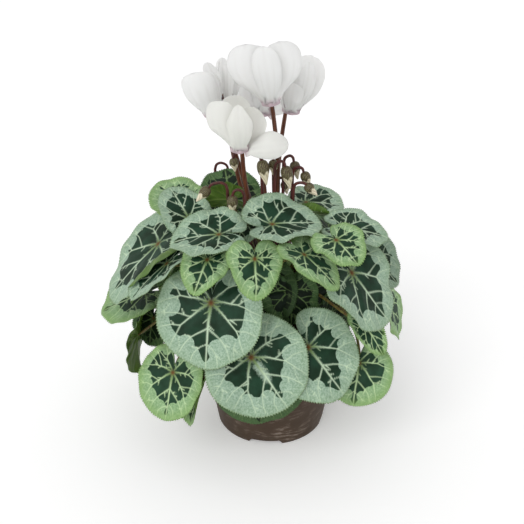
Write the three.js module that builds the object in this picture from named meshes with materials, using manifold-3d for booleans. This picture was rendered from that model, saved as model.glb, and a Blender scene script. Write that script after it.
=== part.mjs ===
// Potted cyclamen: silver-patterned leaves, white reflexed flowers and hooked buds rising from a
// half-buried tuber in a round plastic pot. Millimetres, +Z up, origin at the centre of the pot's
// base, -Y towards the side that shows best.
import * as THREE from 'three';
import { mergeVertices } from 'three/addons/utils/BufferGeometryUtils.js';
import Module from 'manifold-3d';

// ---- driving dimensions ----
const GAP = 0.3;                 // clearance between pieces that rest on each other

const POT_HEIGHT = 110;
const BASE_RADIUS = 46.5;        // outside of the wall at the floor
const WALL_TOP_RADIUS = 61;      // outside of the wall under the collar
const COLLAR_Z = 88;
const COLLAR_RADIUS = 63.5;      // outside of the collar at its lower edge
const RIM_RADIUS = 65;
const WALL = 1.6;
const FOOT_HEIGHT = 3.5;         // the floor stands this far off the ground on a foot ring
const FOOT_WIDTH = 3;
const BOSS_RADIUS = 10;          // moulding boss in the middle of the floor, level with the foot
const NOTCH_COUNT = 4;           // breaks in the foot ring that let water out
const NOTCH_WIDTH = 27;
const NOTCH_TURN = -6;           // degrees from the front to the first notch
const DRAIN_COUNT = 6;
const DRAIN_RADIUS = 3.5;
const DRAIN_CIRCLE = 30;
const POT_SIDES = 36;

const SOIL_Z = 98;
const CROWN_Z = 104;             // flat top of the tuber, which the stems stand on
const CROWN_RADIUS = 23.5;
const TUBER_RADIUS = 28;
const TUBER_HEIGHT = 36;

const BLADE_THICKNESS = 1.2;
const PETIOLE_RADIUS = 1.3;
const PETIOLE_STEPS = 6;
const BLADE_SEGMENTS = 12;       // round the outline
const BLADE_ROWS = 6;            // from the middle of the top to the middle of the underside

const STALK_RADIUS = 1.75;
const HOOK_RADIUS = 1.45;        // the stalk narrows where it bends over
const BUD_STALK_RADIUS = 1.3;
const BUD_HOOK_RADIUS = 1.1;
const PETAL_THICKNESS = 1.2;
const MOUTH_RADIUS = 6.2;
const PETAL_ROOT = MOUTH_RADIUS - 1;
const TUBE_LENGTH = 9;           // from the flower's mouth up to where the stalk joins

// Distance of each group's stems from the middle of the crown.
const RING = { skirt: 21, side: 16.8, top: 12.8 };
const RISE = { skirt: 0.42, side: 0.5, top: 0.62 };   // upright share of each group's petioles
const BUD_RING = 8.8;
const FLOWER_RING = 5;

const COLOUR = {
  pot: 0x4a3a30, soil: 0x2b1f18, tuber: 0x5b4433, leaf: 0x6f8f72,
  petal: 0xf4f4f0, stalk: 0x5a2418, bud: 0x9a8f74,
};

// ---- tables chosen from the plant ----
// at: where the petiole meets the blade. heading: where the tip points, 0 at the front, 90 right.
// droop: how far the tip hangs below level. roll: turn about the midrib. fold and curl: how far
// each half lifts at the midrib and at its margin, left then right as seen with the tip down.
// rise: upright share of the petiole. fall: how steeply it comes down to the blade.
const LEAVES = [
  { name: 'top_leaf_1', tier: 'top', at: [-73, 15, 200], heading: -130, droop: -22, roll: -15,
    width: 48 },
  { name: 'top_leaf_2', tier: 'top', at: [-65, -18, 202], heading: -148, droop: -34, roll: -3,
    width: 44, stretch: 1.2 },
  { name: 'top_leaf_3', tier: 'top', at: [-34, 44, 187], heading: -170, droop: -32, roll: 0,
    width: 58 },
  { name: 'top_leaf_4', tier: 'top', at: [-32, 4, 208], heading: -98, droop: 2, roll: 58,
    width: 44, stretch: 0.9, fold: [10, 4], rise: 0.5 },
  { name: 'top_leaf_5', tier: 'top', at: [-40, -51, 205], heading: -94, droop: 5, roll: -2, width: 60,
    stretch: 1.06, fold: [18, 2] },
  { name: 'top_leaf_6', tier: 'top', at: [0, -44, 210], heading: 108, droop: 2, roll: 4, width: 64,
    fold: [9, 22] },
  { name: 'top_leaf_7', tier: 'top', at: [28, 17, 199], heading: 84, droop: -2, roll: 4,
    width: 52, curl: [60, 0] },
  { name: 'top_leaf_8', tier: 'top', at: [57, -24, 197], heading: 84, droop: 6, roll: 4,
    width: 54 },
  { name: 'top_leaf_9', tier: 'top', at: [47, -60, 205], heading: 38, droop: 16, roll: 6,
    width: 46, stretch: 0.9 },
  { name: 'top_leaf_10', tier: 'top', at: [23, -73, 200], heading: 52, droop: 24, roll: -8,
    width: 53 },
  { name: 'top_leaf_11', tier: 'top', at: [-13, -76, 198], heading: 5, droop: 46, roll: -14,
    width: 48, stretch: 0.92 },
  { name: 'top_leaf_12', tier: 'side', at: [-48, -70, 194], heading: -22, droop: 28, roll: -6,
    width: 42 },
  { name: 'side_leaf_1', tier: 'side', at: [-80, -51, 180], heading: -79, droop: 36, roll: 0, width: 56,
    stretch: 1.25, fold: [10, 14], curl: [165, 0], rise: 0.6 },
  { name: 'side_leaf_2', tier: 'side', at: [-91, -8, 174], heading: -75, droop: 39, roll: 0, width: 84,
    stretch: 1.18 },
  { name: 'side_leaf_3', tier: 'side', at: [-46, -72, 158], heading: -14, droop: 57, roll: 0,
    width: 84 },
  { name: 'side_leaf_4', tier: 'side', at: [14, -37, 147], heading: 15, droop: 68, roll: 0,
    width: 48, stretch: 0.93 },
  { name: 'side_leaf_5', tier: 'side', at: [60, -58, 176], heading: 70, droop: 46, roll: 10, width: 80,
    rise: 0.75 },
  { name: 'side_leaf_6', tier: 'side', at: [83, 12, 154], heading: 75, droop: 42, roll: 12,
    width: 58 },
  { name: 'skirt_leaf_1', tier: 'skirt', at: [-106, 0, 123], heading: -82, droop: 17, roll: -6,
    width: 66 },
  { name: 'skirt_leaf_2', tier: 'skirt', at: [98, 0, 116], heading: 62, droop: 62, roll: -12,
    width: 56 },
  { name: 'skirt_leaf_3', tier: 'skirt', at: [-16, -80, 114], heading: 58, droop: 44, roll: 42,
    width: 82 },
  { name: 'skirt_leaf_4', tier: 'skirt', at: [28, -68, 115], heading: 62, droop: 44, roll: 30, width: 76,
    fold: [-14, 8] },
  { name: 'skirt_leaf_5', tier: 'skirt', at: [70, -54, 90], heading: -12, droop: 56, roll: -12,
    width: 56, stretch: 1.06, fold: [-18, 8] },
  { name: 'skirt_leaf_6', tier: 'side', at: [71, -66, 135], heading: 52, droop: 44, roll: 30,
    width: 25, stretch: 1.75, fold: [14, 28], rise: 0.65 },
  { name: 'skirt_leaf_7', tier: 'skirt', at: [-78, -68, 91], heading: -22, droop: 56, roll: 8,
    width: 60, stretch: 1.05 },
  { name: 'skirt_leaf_8', tier: 'skirt', at: [-54, -65, 83], heading: -44, droop: 56, roll: 6,
    width: 46, stretch: 1.4, fold: [44, 48], fall: 62 },
  { name: 'skirt_leaf_9', tier: 'skirt', at: [-112, -15, 91], heading: -70, droop: 82, roll: 28,
    width: 55, rise: 0.2, fall: 32 },
  { name: 'skirt_leaf_10', tier: 'skirt', at: [-9, -78, 86], heading: 3, droop: 76, roll: 0, width: 70,
    stretch: 0.8 },
  { name: 'side_leaf_7', tier: 'side', at: [-80, 46, 158], heading: -120, droop: 44, roll: 5,
    width: 68 },
  { name: 'side_leaf_8', tier: 'side', at: [-33, 76, 164], heading: -168, droop: 46, roll: 0,
    width: 66 },
  { name: 'side_leaf_9', tier: 'side', at: [26, 78, 157], heading: 162, droop: 50, roll: 0,
    width: 68 },
  { name: 'side_leaf_10', tier: 'side', at: [72, 54, 154], heading: 122, droop: 46, roll: 4,
    width: 64 },
  { name: 'skirt_leaf_11', tier: 'skirt', at: [-72, 68, 112], heading: -140, droop: 60, roll: 0,
    width: 68 },
  { name: 'skirt_leaf_12', tier: 'skirt', at: [-10, 92, 110], heading: 178, droop: 62, roll: 0,
    width: 74 },
  { name: 'skirt_leaf_13', tier: 'skirt', at: [52, 80, 108], heading: 148, droop: 60, roll: 0,
    width: 68 },
  { name: 'skirt_leaf_14', tier: 'skirt', at: [90, 44, 110], heading: 110, droop: 62, roll: 0,
    width: 58 },
];

// nose: middle of the mouth, which faces down. lean: tilt of the flower and the way it tilts.
// turn: direction of its first petal. spread: widest radius of the cup that the petals form.
// stalkSide: direction from the mouth to the stalk. foot: radius and direction of the stalk's foot.
// bends: how a petal differs, by its place: width and length over the others', degrees from its
// even place, degrees that its face turns, or the direction and height in which it hangs.
const FLOWERS = [
  { name: 'centre', nose: [-1, -4, 291], lean: [8, -90], turn: 0, length: 42, width: 27,
    spread: 17.5, twist: 12, stalkSide: 180, foot: [0, 0],
    bends: [{ scale: 0.84, swing: 2, reach: 1.13 },
      { scale: 1.06, swing: -16, reach: 1.13, face: -35 },
      { scale: 0.9, reach: 0.96 }, { scale: 0.9, reach: 0.98 },
      { scale: 1.08, swing: 15, reach: 1.16, face: 58 }] },
  { name: 'right', nose: [15, 30, 272], lean: [8, 80], turn: -5, length: 42, width: 24,
    spread: 12.5, twist: 12, stalkSide: 200, foot: [FLOWER_RING, 112],
    bends: [{ scale: 0.72, swing: -4, reach: 0.64 },
      { scale: 0.56, swing: -27, reach: 1.05, face: -25 },
      { scale: 1.15, swing: -24, reach: 1.08, face: 55 }, { scale: 0.9, reach: 0.75 },
      { scale: 0.6, swing: 10, reach: 0.6 }] },
  { name: 'left', nose: [-45, 8, 278], lean: [17, -80], turn: -20, length: 37, width: 20,
    spread: 11, twist: 12, stalkSide: 150, foot: [FLOWER_RING, -98],
    bends: [{ scale: 1.4, swing: 4, reach: 1.04, face: 22 }, { scale: 0.6, swing: 26, reach: 0.85 },
      { scale: 0.75, reach: 1.04, face: 40 }, { scale: 0.9, reach: 0.75 },
      { scale: 0.7, swing: -34, reach: 0.75 }] },
  { name: 'middle', nose: [-34, 26, 279], lean: [4, 0], turn: 0, length: 36, width: 11,
    spread: 8, twist: 24, stalkSide: 180, foot: [FLOWER_RING, -148], bends: [] },
  { name: 'front', nose: [-24, -21, 261], lean: [6, -30], turn: -4, length: 38, width: 24,
    spread: 15, twist: 12, stalkSide: 175, foot: [FLOWER_RING, -48],
    bends: [{ scale: 0.88, swing: 10, reach: 1.1, face: 6 },
      { scale: 0.95, limp: [92, 3], reach: 0.88 },
      { scale: 0.9, swing: -34, reach: 0.84, face: 50 }, { scale: 1.05, swing: -26 },
      { scale: 1.02, swing: 14, reach: 1.12, face: 58 }] },
  { name: 'back', nose: [-7, 52, 261], lean: [10, -150], turn: 0, length: 38, width: 22,
    spread: 14, twist: 16, stalkSide: 210, foot: [FLOWER_RING, 162],
    bends: [{}, { limp: [104, 22], reach: 0.8 }, {}, {}, { scale: 1.3, swing: 10, face: 55 }] },
];

// top: highest point of the hooked stalk. hang: where the bud starts. tip: the bud's point.
const BUDS = [
  { top: [-39, -22, 234], hang: [-48, -22, 230], tip: [-57, -22, 219.5], foot: -85 },
  { top: [-26, -26, 230], hang: [-30, -26, 225], tip: [-30.5, -26, 211], foot: -55 },
  { top: [-8, -11, 253], hang: [-8, -14, 249], tip: [-4.6, -15, 231], foot: -25 },
  { top: [1, -3, 251], hang: [1, -6.5, 246], tip: [1, -7.5, 235], foot: 33 },
  { top: [7, -13.5, 248], hang: [10, -14, 244], tip: [13.6, -14, 227], foot: 5 },
  { top: [14, 2, 246], hang: [17, 2, 241], tip: [20, 1, 228], foot: 115 },
  { top: [21, -4, 239], hang: [24.5, -4.5, 235], tip: [29, -5, 224], foot: 85 },
  { top: [21.5, -13, 230], hang: [26, -14, 229], tip: [34, -15, 221], foot: 58 },
  { top: [-27, 10, 246], hang: [-30, 9, 241], tip: [-29, 8, 231], foot: -125 },
];

// ---- small helpers ----
const wasm = await Module();
wasm.setup();

const radians = THREE.MathUtils.degToRad;
const vector = (point) => new THREE.Vector3(...point);
const mix = THREE.MathUtils.lerp;

// A direction on the ground: 0 towards the front, 90 to the right.
function compass(degrees) {
  return new THREE.Vector3(Math.sin(radians(degrees)), -Math.cos(radians(degrees)), 0);
}

// Closed triangle mesh to exact solid, with its faces turned outwards.
function solid(geometry) {
  const bare = geometry.index ? geometry.toNonIndexed() : geometry.clone();
  bare.deleteAttribute('normal');
  bare.deleteAttribute('uv');
  const merged = mergeVertices(bare, 1e-4);
  const tris = [];
  const index = merged.index.array;
  for (let i = 0; i < index.length; i += 3) {
    const [a, b, c] = [index[i], index[i + 1], index[i + 2]];
    if (a !== b && b !== c && c !== a) tris.push(a, b, c);
  }
  const build = (triVerts) => new wasm.Manifold(new wasm.Mesh({
    numProp: 3, vertProperties: merged.attributes.position.array, triVerts: new Uint32Array(triVerts),
  }));
  const first = build(tris);
  if (first.volume() > 0) return first;
  const flipped = [];
  for (let i = 0; i < tris.length; i += 3) flipped.push(tris[i], tris[i + 2], tris[i + 1]);
  return build(flipped);
}

// Exact solid back to a three.js geometry.
function geometryOf(manifold) {
  const mesh = manifold.getMesh();
  const geometry = new THREE.BufferGeometry();
  geometry.setAttribute('position', new THREE.BufferAttribute(mesh.vertProperties, 3));
  geometry.setIndex(new THREE.BufferAttribute(mesh.triVerts, 1));
  return geometry;
}

function polygon(radius, sides) {
  const points = [];
  for (let i = 0; i < sides; i += 1) {
    const angle = (2 * Math.PI * i) / sides;
    points.push(new THREE.Vector2(radius * Math.cos(angle), radius * Math.sin(angle)));
  }
  return new THREE.Shape(points);
}

function tube(path, radius, sides, steps) {
  return solid(new THREE.ExtrudeGeometry(polygon(radius, sides), {
    steps, extrudePath: path, bevelEnabled: false,
  }));
}

// Turned body about +Z from a profile of [radius, height] pairs.
function turned(profile, sides) {
  const points = profile.map(([r, z]) => new THREE.Vector2(r, z));
  return new THREE.LatheGeometry(points, sides).rotateX(Math.PI / 2);
}

const group = new THREE.Group();

function addMesh(name, geometry, color, roughness) {
  geometry.computeVertexNormals();
  const material = new THREE.MeshStandardMaterial({ color, roughness, metalness: 0 });
  const mesh = new THREE.Mesh(geometry, material);
  mesh.name = name;
  group.add(mesh);
  return mesh;
}

// ---- pot, potting soil and tuber ----
// Inside of the pot from the floor up, as [radius, height].
const INSIDE = [
  [BASE_RADIUS - WALL + 0.6, FOOT_HEIGHT + WALL],
  [WALL_TOP_RADIUS - WALL, COLLAR_Z],
  [COLLAR_RADIUS - WALL, COLLAR_Z + WALL],
];

function insideRadius(z) {
  const [, , [shelfRadius, shelfZ]] = INSIDE;
  return mix(shelfRadius, RIM_RADIUS - WALL, (z - shelfZ) / (POT_HEIGHT - shelfZ));
}

function buildPot() {
  const profile = [
    [0, 0], [BOSS_RADIUS, 0], [BOSS_RADIUS, FOOT_HEIGHT], [BASE_RADIUS - FOOT_WIDTH, FOOT_HEIGHT],
    [BASE_RADIUS - FOOT_WIDTH, 0], [BASE_RADIUS, 0], [WALL_TOP_RADIUS, COLLAR_Z],
    [COLLAR_RADIUS, COLLAR_Z], [RIM_RADIUS, POT_HEIGHT], [RIM_RADIUS - WALL, POT_HEIGHT],
    ...INSIDE.toReversed(), [0, FOOT_HEIGHT + WALL],
  ];
  let pot = solid(turned(profile, POT_SIDES));
  for (let i = 0; i < NOTCH_COUNT; i += 1) {
    const angle = NOTCH_TURN + (360 * i) / NOTCH_COUNT;
    const notch = new THREE.BoxGeometry(NOTCH_WIDTH, 2 * FOOT_WIDTH + 8, 2 * FOOT_HEIGHT);
    notch.translate(0, -BASE_RADIUS, 0).rotateZ(radians(angle));
    pot = pot.subtract(solid(notch));
  }
  for (let i = 0; i < DRAIN_COUNT; i += 1) {
    const hole = new THREE.CylinderGeometry(DRAIN_RADIUS, DRAIN_RADIUS, 4 * WALL, 10);
    hole.rotateX(Math.PI / 2).translate(DRAIN_CIRCLE, 0, FOOT_HEIGHT + WALL / 2);
    hole.rotateZ(radians((360 * (i + 0.5)) / DRAIN_COUNT));
    pot = pot.subtract(solid(hole));
  }
  addMesh('pot', geometryOf(pot), COLOUR.pot, 0.55);
}

// Side of the tuber from its underside to the edge of its crown.
const TUBER_SIDE = [
  [0, CROWN_Z - TUBER_HEIGHT],
  [0.6 * TUBER_RADIUS, CROWN_Z - 0.93 * TUBER_HEIGHT],
  [0.93 * TUBER_RADIUS, CROWN_Z - 0.68 * TUBER_HEIGHT],
  [TUBER_RADIUS, CROWN_Z - 0.38 * TUBER_HEIGHT],
  [0.955 * TUBER_RADIUS, CROWN_Z - 0.12 * TUBER_HEIGHT],
  [CROWN_RADIUS, CROWN_Z],
];

function buildTuber() {
  addMesh('tuber', geometryOf(solid(turned([...TUBER_SIDE, [0, CROWN_Z]], 20))), COLOUR.tuber, 0.9);
}

// The soil fills the pot to its level and closes round the buried part of the tuber.
function buildSoil() {
  const [[floorRadius, floorZ], [wallRadius, wallZ], [, shelfZ]] = INSIDE;
  const hollow = TUBER_SIDE.slice(0, 4).map(([r, z]) => [r === 0 ? 0 : r + 1.6 * GAP, z - GAP]);
  const [overRadius] = TUBER_SIDE[3];
  const profile = [
    [0, floorZ + GAP], [floorRadius - 2 * GAP, floorZ + GAP], [wallRadius - GAP, wallZ],
    [insideRadius(shelfZ + GAP) - 2 * GAP, shelfZ + 2 * GAP], [insideRadius(SOIL_Z) - GAP, SOIL_Z - 1],
    [0.75 * RIM_RADIUS, SOIL_Z], [overRadius + 1.6 * GAP, SOIL_Z], ...hollow.toReversed(),
  ];
  addMesh('potting_soil', geometryOf(solid(turned(profile, POT_SIDES / 2))), COLOUR.soil, 1);
}

// ---- stems' places on the crown ----
const crownPlace = (out, way) => compass(way).multiplyScalar(out).setZ(CROWN_Z + GAP);

// The stems of one ring stand evenly round the crown, in the order of what they carry.
function crownPlaces(targets, radius) {
  const azimuth = (p) => Math.atan2(p.x, -p.y);
  const order = targets.map((p, i) => [azimuth(p), i]).sort((a, b) => a[0] - b[0]);
  const step = (2 * Math.PI) / targets.length;
  let sin = 0;
  let cos = 0;
  order.forEach(([angle], slot) => {
    sin += Math.sin(angle - slot * step);
    cos += Math.cos(angle - slot * step);
  });
  const phase = Math.atan2(sin, cos);
  const places = [];
  order.forEach(([, i], slot) => {
    places[i] = crownPlace(radius, THREE.MathUtils.radToDeg(phase + slot * step));
  });
  return places;
}

// ---- leaves ----
// Outline radius about the petiole, over the blade's width, at angles from the tip in degrees.
const OUTLINE = [
  [0, 0.6], [30, 0.58], [60, 0.54], [90, 0.485], [120, 0.43], [150, 0.36], [172, 0.2], [180, 0.07],
];

function outlineRadius(angle) {
  const degrees = Math.abs(THREE.MathUtils.radToDeg(angle));
  for (let i = 1; i < OUTLINE.length; i += 1) {
    const [a, ra] = OUTLINE[i - 1];
    const [b, rb] = OUTLINE[i];
    if (degrees <= b) return mix(ra, rb, (degrees - a) / (b - a));
  }
  return OUTLINE.at(-1)[1];
}

// Walks outwards over one half of the blade, lifting by fold at the midrib and curl at the margin.
function across(distance, half, fold, curl) {
  const steps = 8;
  const stride = Math.abs(distance) / steps;
  let out = 0;
  let up = 0;
  let angle = 0;
  for (let i = 0; i < steps; i += 1) {
    const share = ((i + 0.5) * stride) / half;
    const rolled = Math.max(0, (share - 0.45) / 0.55);
    angle = radians(fold * Math.min(1, share / 0.2) + curl * rolled);
    out += stride * Math.cos(angle);
    up += stride * Math.sin(angle);
  }
  return { out: Math.sign(distance) * out, up, angle: Math.sign(distance) * angle };
}

// Axes of a blade: across it, to its tip, and out of its upper face.
function bladeFrame({ heading, droop, roll }) {
  const ahead = compass(heading);
  const [d, r] = [radians(droop), radians(roll)];
  const up = new THREE.Vector3(0, 0, 1);
  const tip = ahead.clone().multiplyScalar(Math.cos(d)).addScaledVector(up, -Math.sin(d));
  const level = ahead.clone().multiplyScalar(Math.sin(d)).addScaledVector(up, Math.cos(d));
  const side = tip.clone().cross(level);
  const normal = level.clone().multiplyScalar(Math.cos(r)).addScaledVector(side, Math.sin(r));
  const turnedSide = side.multiplyScalar(Math.cos(r)).addScaledVector(level, -Math.sin(r));
  return { side: turnedSide, tip, normal };
}

function bladePoint(leaf, x, y, z) {
  const { width, fold = [6, 6], curl = [0, 0], arch = 14 } = leaf;
  const which = x > 0 ? 0 : 1;
  const bend = across(x, width / 2, fold[which], curl[which]);
  const sag = Math.tan(radians(arch) / 2) * (y * y) / (0.6 * width);
  return [bend.out - z * Math.sin(bend.angle), y, bend.up + z * Math.cos(bend.angle) - sag];
}

function buildBlade(leaf, frame) {
  const { at, width, stretch = 1 } = leaf;
  const blade = new THREE.SphereGeometry(1, BLADE_SEGMENTS, BLADE_ROWS);
  const place = new THREE.Matrix4().makeBasis(frame.side, frame.tip, frame.normal).setPosition(...at);
  const position = blade.attributes.position;
  const point = new THREE.Vector3();
  for (let i = 0; i < position.count; i += 1) {
    point.fromBufferAttribute(position, i);
    const angle = Math.atan2(point.x, point.z);
    const reach = Math.hypot(point.x, point.z) * outlineRadius(angle) * width;
    const [x, y] = [reach * Math.sin(angle), reach * Math.cos(angle) * stretch];
    point.set(...bladePoint(leaf, x, y, point.y * BLADE_THICKNESS / 2)).applyMatrix4(place);
    position.setXYZ(i, point.x, point.y, point.z);
  }
  return solid(blade);
}

// The petiole leaves the crown upright and meets the blade from inside the plant. That of a
// hanging leaf arches over the pot's rim.
function petiolePath(leaf, base) {
  const at = vector(leaf.at);
  const length = base.distanceTo(at);
  const hang = Math.max(0, POT_HEIGHT + 12 - at.z);
  const fall = radians(leaf.fall ?? leaf.droop - 75 + 0.6 * Math.max(0, leaf.droop) + 0.7 * hang);
  const arrive = compass(leaf.heading).multiplyScalar(Math.cos(fall)).setZ(-Math.sin(fall));
  const rise = leaf.rise ?? RISE[leaf.tier];
  const first = base.clone().setZ(base.z + rise * length + 0.9 * hang);
  const last = at.clone().addScaledVector(arrive, -0.3 * length - 0.8 * hang);
  return new THREE.CubicBezierCurve3(base, first, last, at);
}

function buildLeaves() {
  for (const tier of ['top', 'side', 'skirt']) {
    const leaves = LEAVES.filter((leaf) => leaf.tier === tier);
    const bases = crownPlaces(leaves.map((leaf) => vector(leaf.at)), RING[tier]);
    leaves.forEach((leaf, i) => {
      const frame = bladeFrame(leaf);
      const blade = buildBlade(leaf, frame);
      const petiole = tube(petiolePath(leaf, bases[i]), PETIOLE_RADIUS, 5, PETIOLE_STEPS);
      addMesh(leaf.name, geometryOf(blade.add(petiole)), COLOUR.leaf, 0.5);
    });
  }
}

// ---- flowers ----
// One petal: it leaves the rim of the mouth, swings out and up, and closes in towards its tip.
function buildPetal({ length, width, spread, twist, turn }, place, bend) {
  const { scale = 1, swing = 0, reach = 1, face = 0, limp } = bend;
  const petal = new THREE.SphereGeometry(1, 8, 4);
  const position = petal.attributes.position;
  const point = new THREE.Vector3();
  for (let i = 0; i < position.count; i += 1) {
    point.fromBufferAttribute(position, i);
    const along = (point.z + 1) / 2;
    const lateral = point.x * scale * (width / 2) * (0.6 + 0.52 * along);
    const middle = PETAL_ROOT + (spread - PETAL_ROOT) * Math.sin(2.3 * along);
    const bow = (lateral * lateral) / (1.6 * spread + 12) - point.y * PETAL_THICKNESS / 2;
    const facing = radians(face - twist) * THREE.MathUtils.smoothstep(along, 0.04, 0.45);
    const [sin, cos] = [Math.sin(facing), Math.cos(facing)];
    point.set(lateral * cos - bow * sin, lateral * sin + bow * cos - middle, length * reach * along);
    position.setXYZ(i, point.x, point.y, point.z);
  }
  if (limp) {
    petal.translate(0, PETAL_ROOT, 0).applyMatrix4(hangingAxes(...limp));
    petal.translate(...compass(turn + 72 * place).multiplyScalar(3));
  } else {
    petal.rotateZ(radians(turn + 72 * place + swing));
  }
  return solid(petal);
}

// Axes of a petal that hangs in a direction, at a height, with its outer face to the front.
function hangingAxes(heading, height) {
  const rise = radians(height);
  const long = compass(heading).multiplyScalar(Math.cos(rise)).setZ(Math.sin(rise));
  const front = new THREE.Vector3(0, -0.86, 0.5);
  front.addScaledVector(long, -front.dot(long)).normalize();
  return new THREE.Matrix4().makeBasis(front.clone().cross(long), front.clone().negate(), long);
}

function flowerPlacement({ nose, lean: [tilt, way] }) {
  const axis = new THREE.Vector3(0, 0, 1).cross(compass(way)).normalize();
  return new THREE.Matrix4().makeRotationAxis(axis, radians(tilt)).setPosition(...nose);
}

function buildCorolla(flower) {
  const tubeProfile = [
    [0, -1.5], [MOUTH_RADIUS - 1.4, -1.5], [MOUTH_RADIUS, 0], [MOUTH_RADIUS - 0.6, 0.55 * TUBE_LENGTH],
    [3.6, TUBE_LENGTH], [0, TUBE_LENGTH],
  ];
  let corolla = solid(turned(tubeProfile, 10));
  for (let i = 0; i < 5; i += 1) {
    corolla = corolla.add(buildPetal(flower, i, flower.bends[i] ?? {}));
  }
  const clearance = tube(hookPath(flower, new THREE.Matrix4()), HOOK_RADIUS + GAP, 6, 9);
  return geometryOf(corolla.subtract(clearance)).applyMatrix4(flowerPlacement(flower));
}

// The stalk rises behind the mouth, bends over between two petals and meets the flower from above.
const HOOK = [[9.6, -12], [9.4, 0], [8.2, 9], [4.2, 15], [0.8, 13.5], [0, TUBE_LENGTH + GAP]];

function hookPath({ stalkSide }, place) {
  const back = compass(stalkSide);
  return new THREE.CatmullRomCurve3(HOOK.map(
    ([out, z]) => back.clone().multiplyScalar(out).setZ(z).applyMatrix4(place),
  ));
}

function buildFlowerStalk(flower, base) {
  const hook = hookPath(flower, flowerPlacement(flower));
  const [start] = hook.points;
  const down = hook.getTangent(0).negate();
  const length = base.distanceTo(start);
  const stem = new THREE.CubicBezierCurve3(
    base, base.clone().setZ(base.z + 0.4 * length),
    start.clone().addScaledVector(down, 0.4 * length), start.clone().addScaledVector(down, -2),
  );
  return geometryOf(tube(stem, STALK_RADIUS, 6, 8).add(tube(hook, HOOK_RADIUS, 6, 9)));
}

function buildFlowers() {
  for (const flower of FLOWERS) {
    const base = crownPlace(...flower.foot);
    addMesh(`${flower.name}_flower_stalk`, buildFlowerStalk(flower, base), COLOUR.stalk, 0.5);
    addMesh(`${flower.name}_corolla`, buildCorolla(flower), COLOUR.petal, 0.6);
  }
}

// ---- buds ----
function buildBud({ top, hang, tip }, base) {
  const [summit, start, end] = [vector(top), vector(hang), vector(tip)];
  const side = start.clone().sub(summit).setZ(0);
  const shoulder = summit.clone().sub(side.clone().normalize().multiplyScalar(5)).setZ(summit.z - 6);
  const hook = new THREE.CatmullRomCurve3([
    shoulder, summit, start, start.clone().lerp(end, 0.15),
  ]);
  const length = base.distanceTo(shoulder);
  const stem = new THREE.CubicBezierCurve3(
    base, base.clone().setZ(base.z + 0.4 * length),
    shoulder.clone().setZ(shoulder.z - 0.35 * length), shoulder.clone().setZ(shoulder.z + 1),
  );
  const size = start.distanceTo(end);
  const spindle = turned([
    [0, 0], [1.9, 0.02 * size], [3.5, 0.2 * size], [3.8, 0.38 * size], [2.7, 0.68 * size], [0, size],
  ], 6);
  const aim = new THREE.Quaternion().setFromUnitVectors(
    new THREE.Vector3(0, 0, 1), end.clone().sub(start).normalize(),
  );
  spindle.applyQuaternion(aim).translate(...start);
  return tube(stem, BUD_STALK_RADIUS, 5, 7).add(tube(hook, BUD_HOOK_RADIUS, 5, 7)).add(solid(spindle));
}

function buildBuds() {
  BUDS.forEach((bud, i) => {
    addMesh(`bud_${i + 1}`, geometryOf(buildBud(bud, crownPlace(BUD_RING, bud.foot))), COLOUR.bud, 0.6);
  });
}

buildPot();
buildTuber();
buildSoil();
buildLeaves();
buildFlowers();
buildBuds();

export default group;
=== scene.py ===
"""Potted cyclamen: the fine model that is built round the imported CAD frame.

Sizes are in millimetres until a mesh is made, +Z up, -Y towards the side that shows best.
"""

import logging
import math
from dataclasses import dataclass, field
from enum import Enum
from typing import Any, ClassVar

import bpy
import numpy as np
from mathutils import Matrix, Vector


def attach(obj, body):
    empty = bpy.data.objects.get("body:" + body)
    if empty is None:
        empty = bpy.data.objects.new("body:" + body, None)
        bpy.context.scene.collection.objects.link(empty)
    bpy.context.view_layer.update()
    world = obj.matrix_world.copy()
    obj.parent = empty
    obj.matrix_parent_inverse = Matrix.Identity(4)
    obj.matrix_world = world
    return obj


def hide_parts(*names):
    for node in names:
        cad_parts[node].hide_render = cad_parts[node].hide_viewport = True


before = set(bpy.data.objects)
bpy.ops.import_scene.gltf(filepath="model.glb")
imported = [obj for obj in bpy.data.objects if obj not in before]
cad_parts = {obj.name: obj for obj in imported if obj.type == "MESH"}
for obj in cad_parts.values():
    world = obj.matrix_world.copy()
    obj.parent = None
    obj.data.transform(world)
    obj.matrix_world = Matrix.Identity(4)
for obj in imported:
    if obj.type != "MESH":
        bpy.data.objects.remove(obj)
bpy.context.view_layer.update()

MM = 0.001
BODY = "root"
Array = np.ndarray
Socket = bpy.types.NodeSocket
Stroke = tuple[list[tuple[float, float]], float, float]
log = logging.getLogger("cyclamen")

# ---- sizes shared with the CAD model ----
GAP = 0.3
POT_HEIGHT = 110.0
CROWN_Z = 104.0
CROWN_FOOT = CROWN_Z + GAP
# Radius of each ring of stems on the crown, and the upright share of its petioles.
RING = {"skirt": 21.0, "side": 16.8, "top": 12.8}
RISE = {"skirt": 0.42, "side": 0.5, "top": 0.62}
BUD_RING = 8.8
PETAL_ROOT = 5.2
TUBE_LENGTH = 9.0

# ---- rings of the stems that only this model has ----
INNER_RING = 7.0
OUTER_BUD_RING = 9.6


# ---- small maths ----
def unit(vector: Array) -> Array:
    """Returns the vector at length one."""
    return vector / np.linalg.norm(vector)


def compass(degrees: float) -> Array:
    """Returns the level direction of a heading: 0 is the front, 90 the right."""
    angle = math.radians(degrees)
    return np.array([math.sin(angle), -math.cos(angle), 0.0])


def smooth(value: Array, low: float, high: float) -> Array:
    """Returns 0 below low, 1 above high and an S-curve between."""
    share = np.clip((value - low) / (high - low), 0.0, 1.0)
    return share * share * (3.0 - 2.0 * share)


def turns(count: int) -> Array:
    """Returns even turns about +Z in radians, the first at the front."""
    return np.linspace(0.0, 2 * math.pi, count, endpoint=False)


def footing(degrees: float, radius: float) -> Array:
    """Returns a stem's place on the crown, at a heading and a distance from the middle."""
    return compass(degrees) * radius + np.array([0, 0, CROWN_FOOT])


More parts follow.
